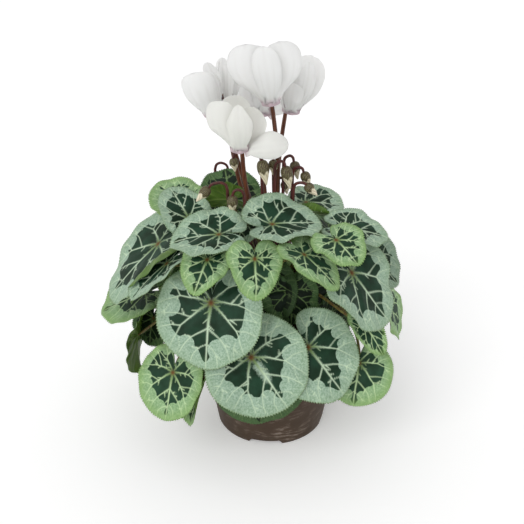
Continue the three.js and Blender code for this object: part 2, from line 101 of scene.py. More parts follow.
def fifths(turn: Array) -> Array:
    """Returns 1 at five even turns and 0 half-way between them."""
    return np.abs(((turn * 5 / (2 * math.pi)) % 1) - 0.5) * 2


def bezier(points: list[Array], steps: int) -> Array:
    """Samples a cubic Bezier curve.

    Args:
        points: its four control points.
        steps: how many samples to return, both ends included.

    Returns:
        The samples, one row each.
    """
    t = np.linspace(0.0, 1.0, steps)[:, None]
    a, b, c, d = points
    return (1 - t) ** 3 * a + 3 * t * (1 - t) ** 2 * b + 3 * t**2 * (1 - t) * c + t**3 * d


def catmull(points: list[Array], steps: int) -> Array:
    """Samples a centripetal Catmull-Rom curve through points.

    Args:
        points: the points that the curve passes, in order.
        steps: samples on each span.

    Returns:
        The samples, one row each.
    """
    line = np.array(points, float)
    line = np.vstack([2 * line[0] - line[1], line, 2 * line[-1] - line[-2]])
    rows = []
    for p0, p1, p2, p3 in zip(line, line[1:], line[2:], line[3:]):
        knots = np.cumsum([0.0] + [max(np.linalg.norm(b - a), 1e-6) ** 0.5
                                   for a, b in ((p0, p1), (p1, p2), (p2, p3))])
        for t in np.linspace(knots[1], knots[2], steps, endpoint=False):
            a1 = ((knots[1] - t) * p0 + (t - knots[0]) * p1) / (knots[1] - knots[0])
            a2 = ((knots[2] - t) * p1 + (t - knots[1]) * p2) / (knots[2] - knots[1])
            a3 = ((knots[3] - t) * p2 + (t - knots[2]) * p3) / (knots[3] - knots[2])
            b1 = ((knots[2] - t) * a1 + (t - knots[0]) * a2) / (knots[2] - knots[0])
            b2 = ((knots[3] - t) * a2 + (t - knots[1]) * a3) / (knots[3] - knots[1])
            rows.append(((knots[2] - t) * b1 + (t - knots[1]) * b2) / (knots[2] - knots[1]))
    rows.append(line[-2])
    return np.array(rows)


# ---- meshes ----
@dataclass
class Shell:
    """Rings of points that close into a solid at a pole on each end.

    Attributes:
        rings: points as (ring, segment, xyz), in millimetres.
        poles: the first and the last pole.
        traits: named values as (ring, segment), which the finish reads as attributes.
        finish: index of the material that the shell wears, for each ring of faces or one for all.
    """

    rings: Array
    poles: tuple[Array, Array]
    traits: dict[str, Array] = field(default_factory=dict)
    finish: int | Array = 0

    def faces(self) -> tuple[Array, Array]:
        """Lists the shell's faces by their points' numbers.

        Returns:
            The quads between the rings, and the triangles at the two poles.
        """
        count, segments, _ = self.rings.shape
        here = np.arange(segments)
        after = (here + 1) % segments
        start = 1 + np.arange(count - 1)[:, None] * segments
        quads = np.stack([start + here, start + after, start + segments + after,
                          start + segments + here], -1).reshape(-1, 4)
        last = 1 + count * segments
        top = last - segments
        fans = np.vstack([np.stack([np.zeros_like(here), 1 + after, 1 + here], -1),
                          np.stack([np.full_like(here, last), top + here, top + after], -1)])
        return quads, fans

    def points(self) -> Array:
        """Returns every point: the first pole, the rings and the last pole."""
        return np.vstack([self.poles[0], self.rings.reshape(-1, 3), self.poles[1]])

    def trait(self, name: str) -> Array:
        """Spreads a trait over the points.

        Args:
            name: the trait's name.

        Returns:
            Its value at every point, or zeros where the shell lacks it.
        """
        count, segments, _ = self.rings.shape
        grid = self.traits.get(name, np.zeros((count, segments)))
        grid = np.broadcast_to(grid, (count, segments))
        return np.concatenate([[grid[0].mean()], grid.ravel(), [grid[-1].mean()]])


def volume(points: Array, triangles: Array) -> float:
    """Returns the signed volume that the triangles enclose."""
    a, b, c = (points[triangles[:, i]] for i in range(3))
    return float(np.einsum("ij,ij->i", a, np.cross(b, c)).sum() / 6.0)


def build(name: str, shells: list[Shell], finishes: list[bpy.types.Material]) -> bpy.types.Object:
    """Makes one object out of closed shells, with their faces outwards.

    Args:
        name: the object's name.
        shells: what it consists of.
        finishes: the materials that the shells' finish numbers name.

    Returns:
        The object, at the origin, with its place in its mesh.
    """
    points, corners, sizes, worn = [], [], [], []
    offset = 0
    for shell in shells:
        place = shell.points()
        quads, fans = shell.faces()
        whole = np.vstack([quads[:, [0, 1, 2]], quads[:, [0, 2, 3]], fans])
        if volume(place - place.mean(0), whole) < 0:
            quads, fans = quads[:, ::-1], fans[:, ::-1]
        count, segments, _ = shell.rings.shape
        band = np.broadcast_to(shell.finish, count + 1)
        worn += [np.repeat(band[1:-1], segments), np.repeat([band[0], band[-1]], segments)]
        corners += [(quads + offset).ravel(), (fans + offset).ravel()]
        sizes += [np.full(len(quads), 4), np.full(len(fans), 3)]
        points.append(place)
        offset += len(place)
    size = np.concatenate(sizes)
    mesh = bpy.data.meshes.new(name)
    mesh.vertices.add(offset)
    mesh.vertices.foreach_set("co", (np.vstack(points) * MM).astype(np.float32).ravel())
    mesh.loops.add(int(size.sum()))
    mesh.loops.foreach_set("vertex_index", np.concatenate(corners).astype(np.int32))
    mesh.polygons.add(len(size))
    mesh.polygons.foreach_set("loop_start", (np.cumsum(size) - size).astype(np.int32))
    mesh.polygons.foreach_set("material_index", np.concatenate(worn).astype(np.int32))
    mesh.polygons.foreach_set("use_smooth", np.ones(len(size), bool))
    mesh.update(calc_edges=True)
    for trait in sorted({key for shell in shells for key in shell.traits}):
        values = np.concatenate([shell.trait(trait) for shell in shells]).astype(np.float32)
        mesh.attributes.new(trait, "FLOAT", "POINT").data.foreach_set("value", values)
    for finish in finishes:
        mesh.materials.append(finish)
    piece = bpy.data.objects.new(name, mesh)
    bpy.context.scene.collection.objects.link(piece)
    return piece


def mount(piece: bpy.types.Object, slot: str, *nodes: str) -> None:
    """Puts a finished piece on the plant in place of its CAD nodes and reports it.

    Args:
        piece: the finished piece.
        slot: a material slot's name; not used.
        nodes: the CAD nodes that it stands for, if any.
    """
    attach(piece, BODY)
    if nodes:
        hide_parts(*nodes)
    log.info("%s: %d faces", piece.name, len(piece.data.polygons))


def sweep(path: Array, thickness: tuple[tuple[float, float], ...], sides: int,
          finish: int = 0) -> Shell:
    """Runs a round section along a path.

    Args:
        path: points of the path.
        thickness: the section's radius at shares of the path, as (share, radius).
        sides: points round the section.
        finish: index of the material that it wears.

    Returns:
        The swept shell.
    """
    radii = np.interp(np.linspace(0, 1, len(path)), *zip(*thickness))
    along = np.gradient(path, axis=0)
    along /= np.linalg.norm(along, axis=1)[:, None]
    start = np.array([1.0, 0, 0]) if abs(along[0][0]) < 0.8 else np.array([0, 1.0, 0])
    normal = unit(np.cross(along[0], start))
    turn = turns(sides)[:, None]
    rings = []
    for point, tangent, radius in zip(path, along, radii):
        normal = unit(normal - tangent * normal.dot(tangent))
        other = np.cross(tangent, normal)
        rings.append(point + radius * (np.cos(turn) * normal + np.sin(turn) * other))
    return Shell(np.array(rings), (path[0], path[-1]), finish=finish)


def lathe(profile: list[tuple[float, float]] | Array, sides: int) -> Array:
    """Turns a profile about +Z.

    Args:
        profile: rows of radius and height.
        sides: points round each ring.

    Returns:
        The rings, as (ring, segment, xyz).
    """
    turn = turns(sides)
    rows = np.array(profile, float)
    return np.stack([rows[:, :1] * np.sin(turn), -rows[:, :1] * np.cos(turn),
                     np.repeat(rows[:, 1:], sides, 1)], -1)


# ---- finishes ----
def linear(code: str) -> tuple[float, float, float, float]:
    """Turns an sRGB hex code to linear.

    Args:
        code: the colour as #rrggbb.

    Returns:
        Its linear red, green and blue, and full opacity.
    """
    parts = [int(code[i:i + 2], 16) / 255 for i in (1, 3, 5)]
    scene = [p / 12.92 if p <= 0.04045 else ((p + 0.055) / 1.055) ** 2.4 for p in parts]
    return (*scene, 1.0)


def add_node(tree: bpy.types.NodeTree, kind: str, inputs: dict[Any, Any] | None = None,
             **settings: Any) -> bpy.types.Node:
    """Adds a node with its settings and links.

    Args:
        tree: the tree that it joins.
        kind: the node's type.
        inputs: a value or another node's output for each input, by name or number.
        settings: the node's own settings.

    Returns:
        The new node.
    """
    node = tree.nodes.new(kind)
    for key, value in settings.items():
        setattr(node, key, value)
    for key, value in (inputs or {}).items():
        if isinstance(value, Socket):
            tree.links.new(value, node.inputs[key])
        else:
            node.inputs[key].default_value = value
    return node


@dataclass
class Coat:
    """What a finish lays on its shader.

    Attributes:
        base: colour under the layers, as a hex code.
        layers: share and paint of each layer, the lowest first; a paint is a code or an output.
        height: output that lifts the bump, or None for a surface without one.
        strength: of the bump.
        depth_mm: full height of the bump.
        gloss: output that sets the roughness, or None for an even one.
    """

    base: str
    layers: list[tuple[Socket, str | Socket]] = field(default_factory=list)
    height: Socket | None = None
    strength: float = 0.0
    depth_mm: float = 0.0
    gloss: Socket | None = None


@dataclass(frozen=True)
class Finish:
    """What every finish shares: a name, a gloss and the shader that it ends in."""

    TRAITS: ClassVar[tuple[str, ...]] = ()

    name: str
    roughness: float = 0.5
    ior: float = 1.45
    specular: float = 0.5

    def constants(self) -> dict[str, Any]:
        """Returns what is the same all over the surface, by the shader's inputs."""
        return {"Roughness": self.roughness, "IOR": self.ior, "Specular IOR Level": self.specular}

    def make(self) -> bpy.types.Material:
        """Makes the material: the layers, the gloss and the bump that the finish asks for.

        Returns:
            The material, with its nodes.
        """
        material = bpy.data.materials.new(self.name)
        material.use_nodes = True
        tree = material.node_tree
        shader = tree.nodes["Principled BSDF"]
        for name, value in self.constants().items():
            shader.inputs[name].default_value = value
        place = add_node(tree, "ShaderNodeTexCoord").outputs["Object"]
        traits = {name: add_node(tree, "ShaderNodeAttribute", attribute_name=name).outputs["Fac"]
                  for name in self.TRAITS}
        coat = self.dress(tree, place, traits)
        colour = linear(coat.base)
        for share, paint in coat.layers:
            paint = linear(paint) if isinstance(paint, str) else paint
            colour = add_node(tree, "ShaderNodeMix", {0: share, 6: colour, 7: paint},
                              data_type="RGBA").outputs[2]
        if coat.layers:
            tree.links.new(colour, shader.inputs["Base Color"])
        else:
            shader.inputs["Base Color"].default_value = colour
        if coat.gloss:
            tree.links.new(coat.gloss, shader.inputs["Roughness"])
        if coat.height:
            bump = add_node(tree, "ShaderNodeBump", {
                "Height": coat.height, "Strength": coat.strength, "Distance": coat.depth_mm * MM})
            tree.links.new(bump.outputs["Normal"], shader.inputs["Normal"])
        return material

    def dress(self, tree: bpy.types.NodeTree, place: Socket, traits: dict[str, Socket]) -> Coat:
        """Adds the finish's own nodes.

        Args:
            tree: the material's nodes.
            place: output with the surface's place on the object.
            traits: outputs with the mesh's named values.

        Returns:
            What the shader gets.
        """
        raise NotImplementedError


@dataclass(frozen=True)
class BladeFace(Finish):
    """Waxy upper face of a leaf: pale veins on a dark middle inside a silver margin."""

    TRAITS = ("vein", "silver", "edge", "root", "frost", "tone", "heart")

    specular: float = 0.2
    deep: str = "#122a18"
    middle: str = "#1e3f2c"
    silver: str = "#84a088"
    speckle: str = "#b7cfb9"
    vein: str = "#c3d8ba"
    sap: str = "#6f8c50"
    edge: str = "#7f9748"
    root: str = "#6b3413"
    # Painted shade: the colour that the tone trait lays over a leaf that lies in shade.
    shade: str = "#16240f"
    speckle_mm: float = 1.4
    cloud_mm: float = 14.0
    pore_mm: float = 0.7

    def dress(self, tree: bpy.types.NodeTree, place: Socket, traits: dict[str, Socket]) -> Coat:
        """Lays the middle, the silver, the veins, the edge, the root spot and the painted shade
        over each other.

        Args:
            tree: the material's nodes.
            place: output with the surface's place on the object.
            traits: outputs with the mesh's named values.

        Returns:
            What the shader gets.
        """
        fine, cloud, pore = (
            add_node(tree, "ShaderNodeTexNoise", {
                "Vector": place, "Scale": 1.0 / (size * MM), "Detail": detail,
                "Roughness": 0.6}).outputs["Fac"]
            for size, detail in ((self.speckle_mm, 3.0), (self.cloud_mm, 2.0), (self.pore_mm, 1.0)))
        ragged = add_node(tree, "ShaderNodeMath", {0: fine, 1: 0.2, 2: -0.1},
                          operation="MULTIPLY_ADD").outputs[0]
        border = add_node(tree, "ShaderNodeMath", {0: traits["silver"], 1: ragged}).outputs[0]
        silver_share = add_node(tree, "ShaderNodeMapRange", {
            "Value": border, "From Min": 0.4, "From Max": 0.6, "To Max": 0.95},
            interpolation_type="SMOOTHSTEP").outputs["Result"]
        frost = add_node(tree, "ShaderNodeMath", {0: traits["frost"], 1: fine},
                         operation="MULTIPLY").outputs[0]
        frost_share = add_node(tree, "ShaderNodeMapRange", {
            "Value": frost, "From Min": 0.17, "From Max": 0.45, "To Max": 0.7}).outputs["Result"]
        grain = add_node(tree, "ShaderNodeMapRange", {
            "Value": fine, "From Min": 0.34, "From Max": 0.74}).outputs["Result"]
        tint = add_node(tree, "ShaderNodeMapRange", {
            "Value": cloud, "From Min": 0.35, "From Max": 0.65}).outputs["Result"]
        silver, vein = (
            add_node(tree, "ShaderNodeMix", {0: share, 6: linear(low), 7: linear(high)},
                     data_type="RGBA").outputs[2]
            for share, low, high in ((grain, self.silver, self.speckle),
                                     (traits["heart"], self.vein, self.sap)))
        gloss = add_node(tree, "ShaderNodeMapRange", {
            "Value": fine, "To Min": self.roughness - 0.07,
            "To Max": self.roughness + 0.1}).outputs["Result"]
        # The last layer is painted shade: the tone trait darkens the whole leaf by its gloom, and
        # its back lobes by the petiole a little more.
        layers = [(tint, self.middle), (frost_share, self.speckle), (silver_share, silver),
                  (traits["vein"], vein), (traits["edge"], self.edge),
                  (traits["root"], self.root), (traits["tone"], self.shade)]
        return Coat(self.deep, layers, pore, 0.28, 0.2, gloss)


@dataclass(frozen=True)
class BladeBack(Finish):
    """Underside of a leaf: bright olive with paler raised veins."""

    TRAITS = ("vein",)

    olive: str = "#3a5a14"
    bright: str = "#5d8126"
    vein: str = "#86a04c"
    cloud_mm: float = 9.0

    def dress(self, tree: bpy.types.NodeTree, place: Socket, traits: dict[str, Socket]) -> Coat:
        """Mottles the olive and draws the veins on it.

        Args:
            tree: the material's nodes.
            place: output with the surface's place on the object.
            traits: outputs with the mesh's named values.

        Returns:
            What the shader gets.
        """
        cloud = add_node(tree, "ShaderNodeTexNoise", {
            "Vector": place, "Scale": 1.0 / (self.cloud_mm * MM), "Detail": 4.0}).outputs["Fac"]
        faint = add_node(tree, "ShaderNodeMath", {0: traits["vein"], 1: 0.6},
                         operation="MULTIPLY").outputs[0]
        return Coat(self.olive, [(cloud, self.bright), (faint, self.vein)], cloud, 0.25, 0.3)


@dataclass(frozen=True)
class StemSkin(Finish):
    """Smooth satin skin of a stem, with fine lengthwise streaks of a second colour."""

    roughness: float = 0.42
    low: str = "#4a200c"
    high: str = "#6d3a1e"
    streak_mm: float = 1.3

    def dress(self, tree: bpy.types.NodeTree, place: Socket, traits: dict[str, Socket]) -> Coat:
        """Streaks the skin: the pattern is drawn eight times longer than it is wide.

        Args:
            tree: the material's nodes.
            place: output with the surface's place on the object.
            traits: outputs with the mesh's named values.

        Returns:
            What the shader gets.
        """
        size = 1.0 / (self.streak_mm * MM)
        long = add_node(tree, "ShaderNodeMapping", {
            "Vector": place, "Scale": (size, size, size / 8)}).outputs["Vector"]
        streak = add_node(tree, "ShaderNodeTexNoise", {
            "Vector": long, "Scale": 1.0, "Detail": 3.0}).outputs["Fac"]
        share = add_node(tree, "ShaderNodeMapRange", {
            "Value": streak, "From Min": 0.35, "From Max": 0.65}).outputs["Result"]
        return Coat(self.low, [(share, self.high)], streak, 0.2, 0.15)


@dataclass(frozen=True)
class PetalTissue(Finish):
    """Soft white petal: faint veins, a lilac blush at its root, light that soaks in a little."""

    TRAITS = ("ribs", "blush", "throat")

    roughness: float = 0.62
    white: str = "#ececea"
    warm: str = "#d9d7d2"
    blush: str = "#bfa3ae"
    throat: str = "#8e6a7b"
    cloud_mm: float = 7.0
    soak: float = 0.7
    soak_mm: float = 3.0

    def constants(self) -> dict[str, Any]:
        """Adds how the light soaks in, a little deeper for red than for blue."""
        return {**super().constants(), "Subsurface Weight": self.soak,
                "Subsurface Radius": (1.0, 0.97, 0.95), "Subsurface Scale": self.soak_mm * MM}

    def dress(self, tree: bpy.types.NodeTree, place: Socket, traits: dict[str, Socket]) -> Coat:
        """Draws the veins along each petal and blushes its root.

        Args:
            tree: the material's nodes.
            place: output with the surface's place on the object.
            traits: outputs with the mesh's named values.

        Returns:
            What the shader gets.
        """
        soft = add_node(tree, "ShaderNodeTexNoise", {
            "Vector": place, "Scale": 1.0 / (self.cloud_mm * MM), "Detail": 2.0}).outputs["Fac"]
        ribs = add_node(tree, "ShaderNodeMath", {0: traits["ribs"], 1: soft},
                        operation="MULTIPLY").outputs[0]
        layers = [(ribs, self.warm), (traits["blush"], self.blush), (traits["throat"], self.throat)]
        return Coat(self.white, layers, traits["ribs"], 0.25, 0.15)


@dataclass(frozen=True)
class BudSkin(Finish):
    """Closed bud: streaked brown-green sepals over a cream tip of rolled petals."""

    TRAITS = ("sepal", "streak", "seam")

    roughness: float = 0.45
    sepal: str = "#3b2618"
    streak: str = "#8f8f63"
    cream: str = "#ece1c6"
    seam: str = "#b9a98a"
    grain_mm: float = 0.8

    def dress(self, tree: bpy.types.NodeTree, place: Socket, traits: dict[str, Socket]) -> Coat:
        """Lays streaked sepals over the cream tip by the bud's own traits.

        Args:
            tree: the material's nodes.
            place: output with the surface's place on the object.
            traits: outputs with the mesh's named values.

        Returns:
            What the shader gets.
        """
        fine = add_node(tree, "ShaderNodeTexNoise", {
            "Vector": place, "Scale": 1.0 / (self.grain_mm * MM), "Detail": 3.0}).outputs["Fac"]
        patchy = add_node(tree, "ShaderNodeMath", {0: traits["streak"], 1: fine},
                          operation="MULTIPLY").outputs[0]
        share = add_node(tree, "ShaderNodeMapRange", {
            "Value": patchy, "From Min": 0.2, "From Max": 0.5}).outputs["Result"]
        sepal = add_node(tree, "ShaderNodeMix", {
            0: share, 6: linear(self.sepal), 7: linear(self.streak)}, data_type="RGBA").outputs[2]
        return Coat(self.cream, [(traits["seam"], self.seam), (traits["sepal"], sepal)])


@dataclass(frozen=True)
class MouldedPlastic(Finish):
    """Injection-moulded polypropylene: a satin taupe brown with pale handling scuffs."""

    roughness: float = 0.56
    ior: float = 1.49
    specular: float = 0.35
    body: str = "#38281a"
    dusty: str = "#473524"
    scuff: str = "#9a8c80"
    dust_mm: float = 18.0
    scuff_mm: float = 2.2
    grain_mm: float = 0.5

    def dress(self, tree: bpy.types.NodeTree, place: Socket, traits: dict[str, Socket]) -> Coat:
        """Clouds the plastic with dust and scratches it across, in patches.

        Args:
            tree: the material's nodes.
            place: output with the surface's place on the object.
            traits: outputs with the mesh's named values.

        Returns:
            What the shader gets.
        """
        dust, grain = (
            add_node(tree, "ShaderNodeTexNoise", {
                "Vector": place, "Scale": 1.0 / (size * MM), "Detail": detail}).outputs["Fac"]
            for size, detail in ((self.dust_mm, 5.0), (self.grain_mm, 2.0)))
        size = 1.0 / (self.scuff_mm * MM)
        wide = add_node(tree, "ShaderNodeMapping", {
            "Vector": place, "Rotation": (0.0, 0.25, 0.0), "Scale": (size / 5, size / 5, size)})
        marks = add_node(tree, "ShaderNodeTexNoise", {
            "Vector": wide.outputs["Vector"], "Scale": 1.0, "Detail": 6.0,
            "Roughness": 0.7}).outputs["Fac"]
        lines = add_node(tree, "ShaderNodeMapRange", {
            "Value": marks, "From Min": 0.48, "From Max": 0.7, "To Max": 0.8}).outputs["Result"]
        patches = add_node(tree, "ShaderNodeMapRange", {
            "Value": dust, "From Min": 0.47, "From Max": 0.62}).outputs["Result"]
        scuffs = add_node(tree, "ShaderNodeMath", {0: lines, 1: patches},
                          operation="MULTIPLY").outputs[0]
        gloss = add_node(tree, "ShaderNodeMapRange", {
            "Value": marks, "To Min": self.roughness - 0.1,
            "To Max": self.roughness + 0.2}).outputs["Result"]
        layers = [(dust, self.dusty), (scuffs, self.scuff)]
        return Coat(self.body, layers, grain, 0.12, 0.1, gloss)


@dataclass(frozen=True)
class Earth(Finish):
    """Crumbly matte matter, such as peat or a tuber's corky skin, in two colours of grains."""

    roughness: float = 0.92
    dark: str = "#1d140e"
    light: str = "#4b3626"
    grain_mm: float = 2.5
    relief_mm: float = 0.8

    def dress(self, tree: bpy.types.NodeTree, place: Socket, traits: dict[str, Socket]) -> Coat:
        """Mixes the two colours by grains and roughens the surface with them.

        Args:
            tree: the material's nodes.
            place: output with the surface's place on the object.
            traits: outputs with the mesh's named values.

        Returns:
            What the shader gets.
        """
        grain = add_node(tree, "ShaderNodeTexNoise", {
            "Vector": place, "Scale": 1.0 / (self.grain_mm * MM), "Detail": 6.0,
            "Roughness": 0.7}).outputs["Fac"]
        share = add_node(tree, "ShaderNodeMapRange", {
            "Value": grain, "From Min": 0.4, "From Max": 0.68}).outputs["Result"]
        return Coat(self.dark, [(share, self.light)], grain, 0.8, self.relief_mm)


@dataclass(frozen=True)
class Paper(Finish):
    """Plain matte white backdrop paper, lit a little from below."""

    roughness: float = 0.9
    white: str = "#fbfbfb"
    glow: float = 0.2

    def constants(self) -> dict[str, Any]:
        """Adds the light from below."""
        return {**super().constants(), "Emission Color": linear(self.white),
                "Emission Strength": self.glow}

    def dress(self, tree: bpy.types.NodeTree, place: Socket, traits: dict[str, Socket]) -> Coat:
        """Gives the paper its one colour.

        Args:
            tree: the material's nodes.
            place: output with the surface's place on the object.
            traits: outputs with the mesh's named values.

        Returns:
            What the shader gets.
        """
        return Coat(self.white)


# ---- leaves ----
class Look(Enum):
    """Kinds of leaf on one plant: how wide and how green the margin is; the shaded one is the same
    leaf with every colour darker, painted shade for leaves that lie in shade.
    """

    SILVER = "silver"
    LIME = "lime"
    SHADED = "shaded"


BLADE_FACES = {
    Look.SILVER: BladeFace("waxy_leaf_silver"),
    Look.LIME: BladeFace("waxy_leaf_lime", deep="#14321e", middle="#244530", silver="#7d9f70",
                         speckle="#a6c596", vein="#bfd9a6", edge="#80a34e"),
    # The shaded finish is painted shade: the silver leaf's colours made darker for leaves deep in
    # the plant or under others.
    Look.SHADED: BladeFace("waxy_leaf_shaded", deep="#0e1d10", middle="#16291a", silver="#43603a",
                           speckle="#5f7d52", vein="#77915f", edge="#4a6a28"),
}
# How much longer the tip makes the leaf, and where its margin starts, over the outline's radius.
POINT = {Look.SILVER: 0.03, Look.LIME: 0.045, Look.SHADED: 0.03}
SILVER_BAND = {Look.SILVER: 0.77, Look.LIME: 0.73, Look.SHADED: 0.84}

# Outline radius about the petiole, over the blade's width, at angles from the tip in degrees.
OUTLINE = ((0, 0.6), (15, 0.596), (30, 0.583), (60, 0.54), (90, 0.487), (120, 0.44), (140, 0.41),
           (155, 0.365), (165, 0.295), (172, 0.2), (177, 0.11), (180, 0.075))
# Branches of the midrib: where they leave it, the angle that they reach and their half-width.
BRANCHES = ((0.36, 26, 0.62), (0.66, 13, 0.42))
# Side veins: angle from the tip, where they fork and their half-width in millimetres.
SIDE_VEINS = ((49, 0.6, 0.95), (95, 0.55, 0.8), (139, 0.5, 0.68))
# A spur's points over its length, and the half-width of each span between them.
SPUR_POINTS = (0.0, 0.35, 0.7, 1.0)
SPUR_WIDTHS = (0.62, 0.42, 0.24)
# Angles from the tip at which the margin may reach inwards, in degrees, and how often it does.
ISLANDS = (15, 29, 42, 59, 76, 103, 121, 148, 163)
ISLAND_ODDS = 0.74
PETIOLE = ((0, 1.5), (0.03, 1.3), (0.9, 1.1), (0.98, 1.25), (1, 0.6))


@dataclass
class Leaf:
    """One heart-shaped leaf with its petiole.

    Attributes:
        name: the CAD node that it stands for, or its own name where it has none.
        at: where the petiole meets the blade.
        heading: where the tip points, 0 at the front, 90 to the right.
        droop: how far the tip hangs below level.
        roll: turn about the midrib.
        width: of the blade, in millimetres.
        look: colouring.
        fold: how far each half lifts at the midrib.
        curl: how far each half lifts towards its margin.
        stretch: length over the round shape's length.
        rise: upright share of the petiole, or None for its group's own.
        fall: how steeply the petiole comes down, or None to work it out.
        tier: group on the crown, or None to read it from the name.
        frost: strength of the silver bloom beside the midrib.
        painted_shade: how much darker the leaf is painted, 0 to 1: painted shade for a leaf that
            lies in shade.
        band: where the margin starts over the outline's radius, or None for its look's own.
        point: how much longer the tip makes the leaf, or None for its look's own.
        lip: where the curl starts, over half the width.
        seed: of its random draws.
        base: place of the petiole's foot on the crown.
        own: whether it stands for a CAD node.
    """

    THICKNESS = 0.62
    ARCH = math.tan(math.radians(7.0))
    BEND_STEPS = 24
    VEIN_POINTS = 9
    # Shares of the radius at which the underside has a ring of points.
    BACKS = (0.97, 0.9, 0.78, 0.64, 0.5, 0.36, 0.22, 0.1)
    # How far each of a tooth's three points stands out of the outline.
    TOOTH = (0.5, 0.1, -0.65)
    # What the veins, the margin and the teeth add to the leaf's own seed.
    VEIN_SEED, MARGIN_SEED, TOOTH_SEED = 1000, 2000, 3000
    # Numbers of the finishes that the leaf wears.
    FACE, BACK, SKIN = range(3)

    name: str
    at: tuple[float, float, float]
    heading: float
    droop: float
    roll: float
    width: float
    look: Look = Look.SILVER
    fold: tuple[float, float] = (6, 6)
    curl: tuple[float, float] = (0, 0)
    stretch: float = 1.0
    rise: float | None = None
    fall: float | None = None
    tier: str | None = None
    frost: float = 0.0
    painted_shade: float = 0.0
    band: float | None = None
    point: float | None = None
    lip: float = 0.42
    seed: int = 0
    base: Array | None = None
    own: bool = True

    def group(self) -> str:
        """Returns the leaf's group on the crown."""
        return self.tier or self.name.split("_")[0]

    def axes(self) -> Array:
        """Works out how the blade lies.

        Returns:
            The directions of its side, its tip and its normal, one row each.
        """
        ahead, up = compass(self.heading), np.array([0.0, 0.0, 1.0])
        d, r = math.radians(self.droop), math.radians(self.roll)
        tip = ahead * math.cos(d) - up * math.sin(d)
        level = ahead * math.sin(d) + up * math.cos(d)
        side = np.cross(tip, level)
        normal = level * math.cos(r) + side * math.sin(r)
        return np.array([side * math.cos(r) - level * math.sin(r), tip, normal])

    def reach(self, angle: Array) -> Array:
        """Draws the outline.

        Args:
            angle: angles from the tip, in radians.

        Returns:
            The outline's radius at each, in millimetres.
        """
        rng = np.random.default_rng(self.seed)
        degrees = np.abs(np.degrees(angle))
        xs, ys = zip(*OUTLINE)
        mirrored_x = [-x for x in xs[:0:-1]] + list(xs) + [360 - x for x in xs[-2::-1]]
        mirrored_y = list(ys[:0:-1]) + list(ys) + list(ys[-2::-1])
        base = np.interp(degrees, mirrored_x, mirrored_y)
        for offset in (2.0, 4.0):
            base += np.interp(degrees - offset, mirrored_x, mirrored_y)
            base += np.interp(degrees + offset, mirrored_x, mirrored_y)
        base /= 5.0
        a, b, c = rng.uniform(0, 2 * math.pi, 3)
        uneven = (0.02 * np.sin(2 * angle + a) + 0.016 * np.sin(3 * angle + b)
                  + 0.01 * np.sin(7 * angle + c))
        point = self.point if self.point is not None else POINT[self.look]
        degrees = np.where(degrees > 180, 360 - degrees, degrees)
        heart = point * (np.exp(-((degrees / 17) ** 2)) - np.exp(-(((degrees - 60) / 30) ** 2)))
        return self.width * base * (1 + heart + uneven * smooth(170 - degrees, 0, 25))

    def bend(self, x: Array, y: Array, z: Array) -> Array:
        """Bends flat points of the blade, in its own axes, and puts them in place.

        Args:
            x: distances to the side of the midrib.
            y: distances towards the tip.
            z: heights above the blade.

        Returns:
            The points on the plant.
        """
        half = self.width / 2
        right = x > 0
        fold = np.where(right, self.fold[0], self.fold[1])[:, None]
        curl = np.where(right, self.curl[0], self.curl[1])[:, None]
        stride = np.abs(x)[:, None] / self.BEND_STEPS
        share = (np.arange(self.BEND_STEPS) + 0.5) * stride / half
        rolled = smooth(share, self.lip, self.lip + 0.25)
        angle = np.radians(fold * np.minimum(1.0, share / 0.2) + curl * rolled)
        out = np.sign(x) * (stride * np.cos(angle)).sum(1)
        up = (stride * np.sin(angle)).sum(1)
        last = np.sign(x) * angle[:, -1]
        sag = self.ARCH * y * y / (0.6 * self.width)
        local = np.stack([out - z * np.sin(last), y, up + z * np.cos(last) - sag], -1)
        return local @ self.axes() + np.array(self.at, float)

    def strokes(self, rng: np.random.Generator) -> list[Stroke]:
        """Lists the veins.

        Args:
            rng: source of their small differences.

        Returns:
            Each vein's turns as (degrees from the tip, share of the outline's radius), and its
            half-widths at the start and the end.
        """
        drawn = [([(0, 0.0), (0, 0.3), (rng.normal(0, 1), 0.6), (rng.normal(0, 1), 0.99)],
                  1.25, 0.5)]
        for side in (-1, 1):
            for at, way, wide in BRANCHES:
                start = at + rng.uniform(-0.05, 0.05)
                way = way + rng.normal(0, 1.5)
                rest = 0.95 - start
                drawn.append(([(0, start), (side * way * 0.5, start + 0.16 * rest),
                               (side * way * 0.88, start + 0.42 * rest),
                               (side * way, start + 0.7 * rest), (side * way * 0.97, 0.95)],
                              wide, 0.32))
            for a, fork, wide in SIDE_VEINS:
                a = a + rng.normal(0, 3)
                fork = fork + rng.uniform(-0.06, 0.06)
                gap = rng.uniform(9, 13)
                drawn.append(([(side * (a + 9), 0.03), (side * (a + 6), 0.22),
                               (side * (a + 1), 0.42), (side * a, fork)], wide, 0.5))
                drawn.append(([(side * a, fork), (side * (a - 0.55 * gap), fork + 0.15),
                               (side * (a - gap), 0.96)], 0.52, 0.3))
                drawn.append(([(side * a, fork), (side * (a + 0.8 * gap), fork + 0.13),
                               (side * (a + 1.1 * gap), 0.94)], 0.5, 0.3))
                if a < 120:
                    drawn.append(([(side * (a + 2), 0.4), (side * (a + 15), 0.53),
                                   (side * (a + 23), 0.7), (side * (a + 24), 0.9)], 0.48, 0.28))
                drawn.append(([(side * (a - 1.1 * gap), 0.76), (side * (a - 1.7 * gap), 0.84),
                               (side * (a - 1.9 * gap), 0.96)], 0.3, 0.22))
        return drawn

    def veins(self) -> tuple[Array, Array, Array, Array]:
        """Draws the vein network.

        Returns:
            Segment starts, ends, half-widths and whether each belongs to a full vein.
        """
        rng = np.random.default_rng(self.seed + self.VEIN_SEED)
        starts, ends, widths, full = [], [], [], []
